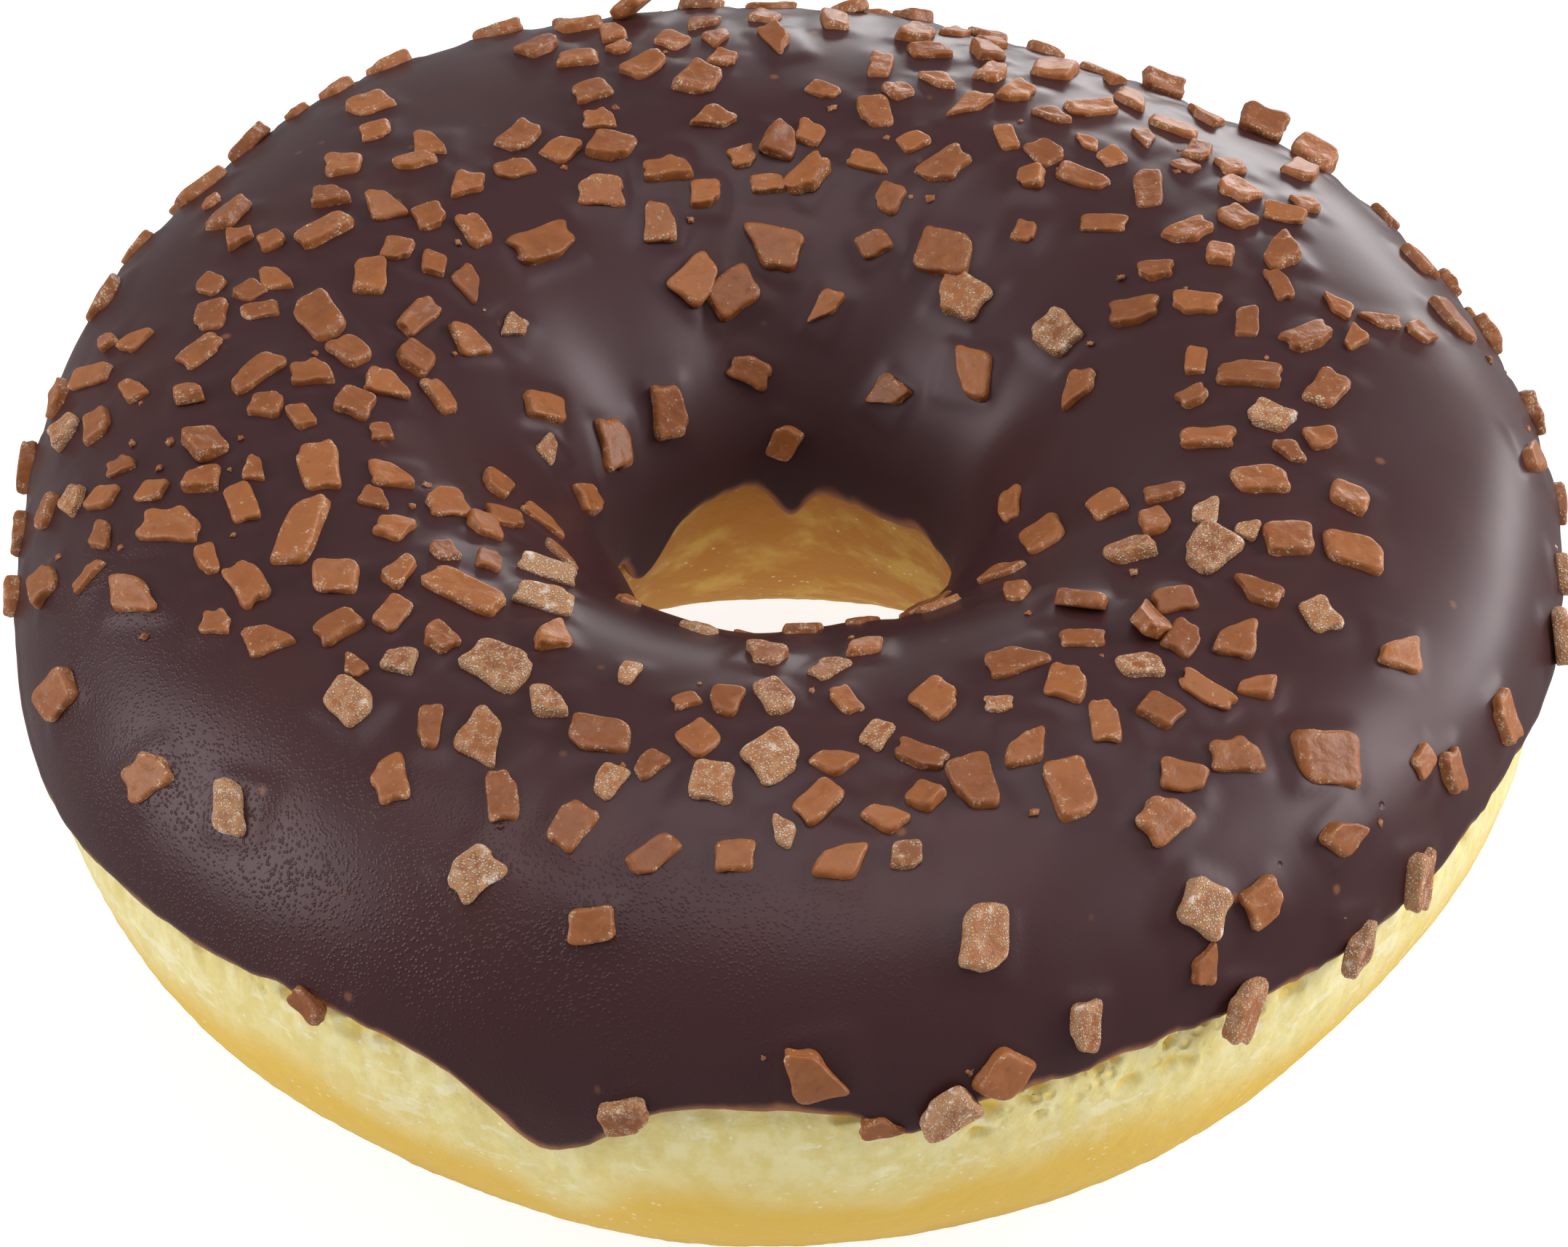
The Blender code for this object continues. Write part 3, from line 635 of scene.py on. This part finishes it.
def chip_density(bearing, climb):
    """How thickly the chips fell at a place, with the gatherings and the bare patches."""
    density = STRAY_DENSITY
    for at, height, reach in GATHERINGS:
        beside = angle_between(bearing, at) / reach
        density += math.exp(-beside ** 2 - ((climb - height) / GATHERING_HEIGHT) ** 2)
    for at, height, reach in BARE_PATCHES:
        beside = angle_between(bearing, at) / reach
        density *= 1 - BARE_SHARE * math.exp(-beside ** 2 - ((climb - height) / BARE_HEIGHT) ** 2)
    above_front = max(climb - LOW_FRONT_CLIMB, 0) / LOW_FRONT_FADE
    low_front = math.exp(-(bearing / LOW_FRONT_WIDTH) ** 6 - above_front ** 4)
    return density * (1 - low_front)


def scattered_chips():
    """Every chip on the icing: the ones that stand out, then the rest as they fell."""
    draw = random.Random(CHIP_SEED)
    chips = placed_chips()
    places = [dough_points(chip.bearing, chip.climb) for chip in chips]
    while len(chips) < CHIP_COUNT:
        bearing = draw.uniform(-180, 180)
        on_crest = draw.random() < CREST_SHARE
        climb = draw.gauss(CREST_CLIMB, CLIMB_SPREAD) if on_crest else draw.uniform(120, 168)
        long = draw.triangular(*CHIP_LONG) * MM
        short = min(draw.triangular(*CHIP_SHORT) * MM, long)
        turn = draw.uniform(0, 180)
        lean = draw.gauss(0, 6) if draw.random() < FLAT_SHARE else draw.uniform(-26, 26)
        sugared = draw.random() < SUGARED_SHARE + SUGARED_IN_FRONT * math.cos(math.radians(bearing + 20))
        if draw.random() >= chip_density(bearing, climb):
            continue
        outer, inner = icing_edges(bearing)
        if not outer + CHIP_OUTER_ROOM < climb < inner - CHIP_INNER_ROOM:
            continue
        place = dough_points(bearing, climb)
        room = CHIP_SPACING * (long + np.array([chip.long for chip in chips]))
        if np.any(np.linalg.norm(np.array(places) - place, axis=1) < room):
            continue
        chips.append(Chip(bearing, climb, long, short, turn, lean, sugared, len(chips) % CHIP_KINDS))
        places.append(place)
    return chips


def chip_thickness(chip):
    """The smaller chips are thinner."""
    return CHIP_THICKNESS * min(max(chip.short / CHIP_FULL_WIDTH, CHIP_THINNEST), 1.0)


def chip_matrix(chip):
    """Where a chip lies: its face along the icing, leaning on its long side, its lowest side sunk in."""
    point, round_ring, up_section, out = surface_frames(chip.bearing, chip.climb)
    turned = Matrix(np.stack([round_ring, up_section, out], 1).tolist())
    turned = turned @ Matrix.Rotation(math.radians(chip.turn), 3, "Z")
    turned = turned @ Matrix.Rotation(math.radians(chip.lean), 3, "X")
    lowest = abs(math.sin(math.radians(chip.lean))) * chip.short * CHIP_LEAN_LIFT
    icing_here = float(icing_thickness(chip.climb))
    sink = min(CHIP_SUNK_SHARE * chip_thickness(chip), CHIP_SUNK_LIMIT * icing_here)
    lift = ICING_GAP + icing_here - sink + lowest
    return Matrix.Translation(Vector(point + out * lift)) @ turned.to_4x4()


def chip_outline(kind):
    """The corners of one kind of chip, in a unit square: a broken-off square, oblong or shard."""
    draw = random.Random(OUTLINE_SEED + kind)
    corners = [Vector((x, y)) for x, y in ((-0.5, -0.5), (0.5, -0.5), (0.5, 0.5), (-0.5, 0.5))]
    corners = [Vector((c.x * draw.uniform(0.72, 1.04), c.y * draw.uniform(0.66, 1.06))) for c in corners]
    if kind % 4 == 2:
        corners[2].x = draw.uniform(-0.1, 0.15)
    if kind % 2:
        cut = draw.randrange(4)
        before, at, after = corners[cut - 1], corners[cut], corners[(cut + 1) % 4]
        share = draw.uniform(0.25, 0.5)
        corners[cut:cut + 1] = [at.lerp(before, share), at.lerp(after, share * 0.8)]
    return corners


def worn_outline(kind):
    """The same outline with its corners worn round and its broken sides a little ragged."""
    corners = chip_outline(kind)
    middle = sum(corners, Vector((0.0, 0.0))) / len(corners)
    draw = random.Random(WEAR_SEED + kind)
    points = []
    for k, corner in enumerate(corners):
        worn = draw.uniform(0.16, 0.32)
        before = corner.lerp(corners[k - 1], worn)
        after = corner.lerp(corners[(k + 1) % len(corners)], worn)
        for share in (0.0, 0.25, 0.5, 0.75, 1.0):
            points.append(before.lerp(corner, share).lerp(corner.lerp(after, share), share))
        following = corners[(k + 1) % len(corners)].lerp(corner, 0.20)
        bowed = draw.triangular(-0.06, 0.13, 0.02)
        for share in (0.25, 0.5, 0.75):
            points.append(after.lerp(following, share).lerp(middle, bowed * (1 - abs(2 * share - 1) ** 2)))
    return points


# The widths and heights of a chip's rings, from its underside over its worn edge to its hollow face.
CHIP_LEVELS = (
    (0.90, 0.0), (0.97, 0.08), (1.0, 0.3), (1.0, 0.6), (0.985, 0.8), (0.94, 0.92), (0.86, 0.985),
    (0.74, 1.0), (0.45, 0.97),
)
CHIP_HOLLOW_HEIGHT = 0.96
CHIP_SIDE_WOBBLE = 0.05
CHIP_FACE_WOBBLE = 0.12


def make_chip_kind(kind):
    """One kind of chip at unit size: a flat slab with worn edges, lumpy sides and a slightly hollow face."""
    outline = worn_outline(kind)
    mesh = bmesh.new()
    rims = []
    rings = []
    for width, height in CHIP_LEVELS:
        rims += [float(ease((width - 0.5) / 0.45))] * len(outline)
        ring = []
        for point in outline:
            place = Vector((point.x * width, point.y * width, height))
            wobble = noise.noise_vector(place * 2.6 + Vector((kind * 7.1, 0, 0)))
            place += Vector((
                wobble.x * CHIP_SIDE_WOBBLE,
                wobble.y * CHIP_SIDE_WOBBLE,
                wobble.z * CHIP_FACE_WOBBLE * (height > 0.5),
            ))
            ring.append(mesh.verts.new(place))
        rings.append(ring)
    for lower, upper in zip(rings, rings[1:]):
        for k, vert in enumerate(lower):
            j = (k + 1) % len(lower)
            mesh.faces.new((vert, lower[j], upper[j], upper[k]))
    for ring, height in ((rings[0][::-1], 0.0), (rings[-1], CHIP_HOLLOW_HEIGHT)):
        middle = sum((vert.co for vert in ring), Vector()) / len(ring)
        centre = mesh.verts.new((middle.x, middle.y, height))
        for k, vert in enumerate(ring):
            mesh.faces.new((vert, ring[(k + 1) % len(ring)], centre))
    data = bpy.data.meshes.new(f"chip_kind_{kind:02d}")
    mesh.to_mesh(data)
    mesh.free()
    data.shade_smooth()
    made = bpy.data.objects.new(data.name, data)
    store(made, "rim", rims + [0.0, 0.0])
    return made


def node_tree(name, inputs):
    """A new geometry tree with a geometry input and output and some named inputs, and its wires by name."""
    tree = bpy.data.node_groups.new(name, "GeometryNodeTree")
    tree.interface.new_socket("Geometry", in_out="INPUT", socket_type="NodeSocketGeometry")
    for label, kind in inputs.items():
        tree.interface.new_socket(label, in_out="INPUT", socket_type=kind)
    tree.interface.new_socket("Geometry", in_out="OUTPUT", socket_type="NodeSocketGeometry")
    entry = tree.nodes.new("NodeGroupInput")
    return tree, {socket.name: Wire(tree, socket) for socket in entry.outputs if socket.name}


def end_tree(tree, geometry, material):
    """Close a tree: its instances made real, with one finish."""
    geometry = geometry.node("GeometryNodeRealizeInstances", values={0: geometry})
    geometry = geometry.node("GeometryNodeSetMaterial", values={"Geometry": geometry, "Material": material})
    leave = tree.nodes.new("NodeGroupOutput")
    tree.links.new(geometry.socket, leave.inputs[0])


def run_tree(name, carrier, tree, values):
    """Run a tree on a carrier and keep the result as a plain mesh object of its own."""
    modifier = carrier.modifiers.new("nodes", "NODES")
    modifier.node_group = tree
    for item in tree.interface.items_tree:
        if item.item_type == "SOCKET" and item.in_out == "INPUT" and item.name in values:
            modifier[item.identifier] = values[item.name]
    bpy.context.view_layer.update()
    evaluated = carrier.evaluated_get(bpy.context.evaluated_depsgraph_get())
    data = bpy.data.meshes.new_from_object(evaluated)
    data.name = name
    carrier.modifiers.remove(modifier)
    thing = bpy.data.objects.new(name, data)
    bpy.context.scene.collection.objects.link(thing)
    return thing


chips = scattered_chips()
# Without a seed of its own, the noise vector that makes the chips lumpy would differ in every run.
noise.seed_set(CHIP_SEED)
chip_kinds = bpy.data.collections.new("chip kinds")
for kind in range(CHIP_KINDS):
    chip_kinds.objects.link(make_chip_kind(kind))


def chip_tree(material):
    """Set one kind of chip on each point, turned and sized as the point says."""
    tree, wires = node_tree("strewn chips", {"Kinds": "NodeSocketCollection"})
    geometry = wires["Geometry"]
    kinds = geometry.node("GeometryNodeCollectionInfo", values={
        "Collection": wires["Kinds"], "Separate Children": True, "Reset Children": True,
    })
    named = {}
    for label, kind in (("turn", "FLOAT_VECTOR"), ("size", "FLOAT_VECTOR"), ("kind", "INT")):
        named[label] = geometry.node("GeometryNodeInputNamedAttribute", {"data_type": kind}, {"Name": label})
    turned = geometry.node("FunctionNodeEulerToRotation", values={0: named["turn"]})
    geometry = geometry.node("GeometryNodeInstanceOnPoints", values={
        "Points": geometry, "Instance": kinds, "Pick Instance": True, "Instance Index": named["kind"],
        "Rotation": turned, "Scale": named["size"],
    })
    end_tree(tree, geometry, material)
    return tree


def strew(name, placed, kinds, material):
    """Make one piece of small things of some kinds, each placed by a matrix, a size, a kind and a frost."""
    matrices, sizes, which, frosts = zip(*placed)
    draw = random.Random(CHIP_SEED + len(placed))
    values = {
        "turn": ("FLOAT_VECTOR", "vector", [angle for m in matrices for angle in m.to_euler()]),
        "size": ("FLOAT_VECTOR", "vector", [side for size in sizes for side in size]),
        "kind": ("INT", "value", which),
        "tone": ("FLOAT", "value", [draw.random() for _ in placed]),
        "frost": ("FLOAT", "value", frosts),
    }
    data = bpy.data.meshes.new(name + " places")
    data.from_pydata([m.translation for m in matrices], [], [])
    for label, (number, field, numbers) in values.items():
        data.attributes.new(label, number, "POINT").data.foreach_set(field, numbers)
    places = bpy.data.objects.new(name + " places", data)
    bpy.context.scene.collection.objects.link(places)
    piece = run_tree(name, places, chip_tree(material), {"Kinds": kinds})
    bpy.data.objects.remove(places, do_unlink=True)
    return piece


def chip_places(chosen):
    """The chosen chips as they're strewn: a sugared one carries more frost, but each has its own share."""
    draw = random.Random(CHIP_SEED)
    placed = []
    for chip in chosen:
        frost = chip.sugared * draw.uniform(0.45, 0.75) + draw.uniform(0.0, 0.2)
        placed.append((chip_matrix(chip), (chip.long, chip.short, chip_thickness(chip)), chip.kind, frost))
    return placed


CARAMEL_LIGHT = (0.325, 0.110, 0.032, 1.0)
CARAMEL = (0.205, 0.063, 0.019, 1.0)
CARAMEL_DARK = (0.12, 0.036, 0.015, 1.0)
SUGAR_VEIL = (0.50, 0.275, 0.135, 1.0)
SUGAR_GRAIN = (0.88, 0.73, 0.56, 1.0)
SUGAR_WHITE = (0.93, 0.84, 0.76, 1.0)


def caramel_finish(name, graininess):
    """Caramel, toned chip by chip and mottled. Its frost of sugar lies thickest along each chip's edges."""
    material, start, join = finish(name, {
        "Specular IOR Level": 0.35,
        "Subsurface Weight": 0.06,
        "Subsurface Radius": (1.0, 0.45, 0.2),
        "Subsurface Scale": 0.0008,
    })
    rim = start.attribute("rim")
    shade = start.attribute("tone") * 0.7 + start.noise(0.9 * MM, 3.0, 0.6) * 0.9 - 0.3 + 0.15 * rim
    colour = shade.band(0.0, 1.0).mix(CARAMEL, CARAMEL_LIGHT)
    colour = (start.noise(0.55 * MM, 2.0).band(0.60, 0.74) * 0.3).mix(colour, CARAMEL_DARK)
    sugar = 1.6 * start.noise(0.65 * MM, 3.0, 0.65) + 0.18 * rim ** 2.0
    frosted = sugar + 0.62 * start.attribute("frost") - 0.75
    colour = (frosted.band(0.25, 0.85) * 0.65).mix(colour, SUGAR_VEIL)
    grain = (1.0 - start.cells(0.17 * MM).band(0.20, 0.52)) * frosted.band(0.22, 0.62)
    colour = (grain * 0.6).mix(colour, SUGAR_GRAIN)
    white = start.noise(0.9 * MM, 3.0).band(0.56, 0.66) * frosted.band(0.5, 0.9)
    colour = (white * 0.6).mix(colour, SUGAR_WHITE)
    join("Base Color", colour)
    join("Roughness", 0.40 + 0.25 * frosted.band(0.2, 0.7))
    rough = (grain + 0.4 * start.noise(0.20 * MM, 3.0, 0.7)).bump(graininess)
    join("Normal", start.noise(0.7 * MM, 2.0).bump(0.09 * MM, rough))
    return material


plain = chip_places([chip for chip in chips if not chip.sugared])
plain_chips = strew("caramel_chips", plain, chip_kinds, caramel_finish("caramel", 0.03 * MM))
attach(plain_chips, "root")
frosted = chip_places([chip for chip in chips if chip.sugared])
sugared_caramel = caramel_finish("sugared caramel", 0.08 * MM)
sugared_chips = strew("sugared_chips", frosted, chip_kinds, sugared_caramel)
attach(sugared_chips, "root")
for kind in list(chip_kinds.objects):
    bpy.data.objects.remove(kind, do_unlink=True)
bpy.data.collections.remove(chip_kinds)


# The crumbs. Grains of caramel and sugar that broke off the chips. They lie close around the chips, more
# of them round a frosted one, each pressed a little into the icing.
CRUMB_SEED = 31
CRUMB_COUNT = 60
CRUMB_KINDS = 4
CRUMB_SUNK_SHARE = 0.45
CRUMB_REACH = (0.1, 2.2, 0.3)
CRUMB_WIDTH = (0.22, 0.75, 0.34)
CRUMB_EDGE_ROOM = 6


def make_crumb_kind(kind):
    """One kind of crumb at unit size: a lumpy grain."""
    mesh = bmesh.new()
    bmesh.ops.create_icosphere(mesh, subdivisions=2, radius=0.5)
    for vert in mesh.verts:
        vert.co *= 1 + 0.8 * noise.noise(vert.co * 3.1 + Vector((kind * 5.3, 0, 0)))
    data = bpy.data.meshes.new(f"crumb_kind_{kind:02d}")
    mesh.to_mesh(data)
    mesh.free()
    data.shade_smooth()
    made = bpy.data.objects.new(data.name, data)
    store(made, "rim", [1.0] * len(data.vertices))
    return made


def scattered_crumbs():
    """The crumbs as they're strewn, each beside a chip. Half of those drawn for a plain chip are dropped."""
    draw = random.Random(CRUMB_SEED)
    crumbs = []
    while len(crumbs) < CRUMB_COUNT:
        chip = draw.choice(chips)
        way = draw.uniform(0, 2 * math.pi)
        far = chip.long * 0.5 + draw.triangular(*CRUMB_REACH) * MM
        wide = draw.triangular(*CRUMB_WIDTH) * MM
        flat = draw.uniform(0.5, 0.9)
        spin = draw.uniform(0, 180)
        if not chip.sugared and draw.random() < 0.5:
            continue
        radius = float(section(chip.climb)[0])
        bearing = chip.bearing + math.degrees(far * math.cos(way) / radius)
        climb = chip.climb + far * math.sin(way) * math.degrees(1 / (DOUGH_RADIUS - CREST_RADIUS))
        outer, inner = icing_edges(bearing)
        if not outer + CRUMB_EDGE_ROOM < climb < inner - CRUMB_EDGE_ROOM:
            continue
        point, round_ring, up_section, out = surface_frames(bearing, climb)
        turned = Matrix(np.stack([round_ring, up_section, out], 1).tolist())
        turned = turned @ Matrix.Rotation(math.radians(spin), 3, "Z")
        lift = ICING_GAP + float(icing_thickness(climb)) + wide * flat * (0.5 - CRUMB_SUNK_SHARE)
        matrix = Matrix.Translation(Vector(point + out * lift)) @ turned.to_4x4()
        frost = draw.uniform(0.2, 1.0) if chip.sugared else draw.uniform(0.0, 0.4)
        crumbs.append((matrix, (wide, wide * 0.8, wide * flat), len(crumbs) % CRUMB_KINDS, frost))
    return crumbs


crumb_kinds = bpy.data.collections.new("crumb kinds")
for kind in range(CRUMB_KINDS):
    crumb_kinds.objects.link(make_crumb_kind(kind))
crumbs = strew("crumbs", scattered_crumbs(), crumb_kinds, sugared_caramel)
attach(crumbs, "root")
for kind in list(crumb_kinds.objects):
    bpy.data.objects.remove(kind, do_unlink=True)
bpy.data.collections.remove(crumb_kinds)


# The icing. Dark chocolate poured over the top while it was warm, so it lies as a skin about a
# millimetre thick with soft swells, and it creeps up the sides of every chip. It set satin, with fine
# pebbles where it cooled fast low on the left, and it is thin and reddish along its edge.
ICING_BEARINGS = 520
ICING_ROWS = 150
ICING_LIP = 1.0 * MM
LIP_ROUNDING = ((0.0, 0.45), (0.08, 0.6), (0.2, 0.72), (0.35, 0.8), (0.6, 0.93), (1.0, 1.0))
UNDER_ROWS = 7
CREEP_HEIGHT = 0.20 * MM
CREEP_REACH = 0.70 * MM
FLUSH_CREEP = 0.35
STANDING_LEAN = 14
SWELL_DEPTH = 0.18 * MM
SWELL_AT_EDGE = 0.15
CALM_BAND = 6.0
EDGE_RAGGED = 0.7
TORN_EDGE_RAGGED = 1.5
IN_HOLE_FROM = 150
IN_HOLE_BAND = 25
PEBBLED_BEARING = -36
PEBBLED_WIDTH = 44
PEBBLED_CLIMB = 26
PEBBLED_HEIGHT = 32

bearings = np.arange(ICING_BEARINGS) * 360 / ICING_BEARINGS
outer, inner = icing_edges(bearings)
edge_places = np.stack([np.sin(np.radians(bearings)), np.cos(np.radians(bearings)), 0 * bearings], -1)
outer = outer + EDGE_RAGGED * noise_at(edge_places * DOUGH_RADIUS, 2.2 * MM, 12, 3)
torn_edge = TORN_EDGE_RAGGED * torn_share(bearings)
outer = outer + torn_edge * noise_at(edge_places * DOUGH_RADIUS, 1.4 * MM, 13, 3)
inner = inner + EDGE_RAGGED * noise_at(edge_places * HOLE_RADIUS, 1.6 * MM, 14, 2)
degrees_per_metre = math.degrees(1 / (DOUGH_RADIUS - CREST_RADIUS))
columns = []
heights = []
for reach, height in LIP_ROUNDING:
    columns.append(outer + reach * ICING_LIP * degrees_per_metre)
    heights.append(height)
top_start = columns[-1]
top_width = inner - outer - 2 * ICING_LIP * degrees_per_metre
for row in range(1, ICING_ROWS):
    columns.append(top_start + top_width * row / ICING_ROWS)
    heights.append(1.0)
for reach, height in reversed(LIP_ROUNDING):
    columns.append(inner - reach * ICING_LIP * degrees_per_metre)
    heights.append(height)
over_count = len(columns)
for row in range(UNDER_ROWS + 1):
    columns.append(inner + (outer - inner) * row / UNDER_ROWS)
    heights.append(0.0)
climb_grid = np.stack(columns, 1)
bearing_grid = np.broadcast_to(bearings[:, None], climb_grid.shape)
height_grid = np.broadcast_to(np.array(heights), climb_grid.shape)
icing_grid, _, _, icing_out = surface_frames(bearing_grid, climb_grid)
lift = ICING_GAP + height_grid * icing_thickness(climb_grid)
icing_grid = icing_grid + icing_out * lift[..., None]

over = icing_grid[:, :over_count].reshape(-1, 3)
creep = np.zeros(len(over))
for chip in chips:
    place = np.array(chip_matrix(chip).inverted())
    near = np.linalg.norm(over - np.array(chip_matrix(chip).translation), axis=1) < chip.long + 2 * MM
    local = over[near] @ place[:3, :3].T + place[:3, 3]
    beyond = np.maximum(np.abs(local[:, :2]) - np.array((chip.long, chip.short)) * 0.43, 0)
    gap = np.hypot(beyond[:, 0], beyond[:, 1])
    standing = FLUSH_CREEP + (1 - FLUSH_CREEP) * min(abs(chip.lean) / STANDING_LEAN, 1.0)
    creep[near] = np.maximum(creep[near], standing * np.exp(-(gap / CREEP_REACH) ** 2))
swell = noise_at(over, 11 * MM, 21) + 0.08 * noise_at(over, 5 * MM, 22)
rise = (CREEP_HEIGHT * creep + SWELL_DEPTH * (swell - 0.5)).reshape(ICING_BEARINGS, over_count)
from_edge = np.minimum(climb_grid - outer[:, None], inner[:, None] - climb_grid)
rise *= SWELL_AT_EDGE + (1 - SWELL_AT_EDGE) * ease(from_edge[:, :over_count] / CALM_BAND)
icing_grid[:, :over_count] += icing_out[:, :over_count] * rise[..., None]
icing = ring_mesh("chocolate_icing", icing_grid)
store(icing, "from_edge", from_edge / degrees_per_metre / MM)
beside = angle_between(bearing_grid, PEBBLED_BEARING) / PEBBLED_WIDTH
above = (climb_grid - PEBBLED_CLIMB) / PEBBLED_HEIGHT
store(icing, "pebbled", np.exp(-beside ** 4 - above ** 4))
store(icing, "in_hole", ease((climb_grid - IN_HOLE_FROM) / IN_HOLE_BAND))

CHOCOLATE = (0.042, 0.0142, 0.0155, 1.0)
CHOCOLATE_RED = (0.056, 0.0168, 0.0155, 1.0)
THIN_CHOCOLATE = (0.31, 0.115, 0.042, 1.0)

chocolate, start, join = finish("dark chocolate", {
    "Specular IOR Level": 0.34,
    "Specular Tint": (1.0, 0.88, 0.92, 1.0),
})
thin = 1.0 - (0.8 * start.attribute("from_edge") + 1.6 * start.noise(4 * MM, 3.0) - 0.75).band(0.10, 0.75)
spots = (1.0 - start.cells(4.2 * MM).band(0.03, 0.10)) * start.noise(3 * MM, 1.0).band(0.46, 0.56)
clouds = start.noise(11 * MM, 3.0, 0.55).band(0.45, 0.75)
colour = (clouds * 0.6).mix(CHOCOLATE, CHOCOLATE_RED)
colour = (spots * 0.45).mix(colour, THIN_CHOCOLATE)
colour = (thin * 0.9).mix(colour, THIN_CHOCOLATE)
join("Base Color", colour)
pebbles = start.attribute("pebbled") * (0.45 + 0.55 * start.noise(6 * MM, 2.0).band(0.30, 0.55))
join("Roughness", 0.33 + 0.08 * start.noise(5 * MM, 3.0) - 0.04 * pebbles + 0.35 * start.attribute("in_hole"))
beads = (1.0 - start.cells(0.25 * MM).band(0.10, 0.50)) * pebbles
grainy = (beads + 0.08 * start.noise(0.35 * MM, 2.0, 0.55)).bump(0.034 * MM)
pits = (1.0 - start.cells(4.5 * MM).band(0.02, 0.06)) * start.noise(8 * MM, 1.0).band(0.52, 0.62)
pitted = (1.0 - pits).bump(0.10 * MM, grainy)
join("Normal", start.noise(5 * MM, 2.0, 0.4).bump(0.05 * MM, pitted))
icing.data.materials.append(chocolate)
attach(icing, "root")
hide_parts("icing")
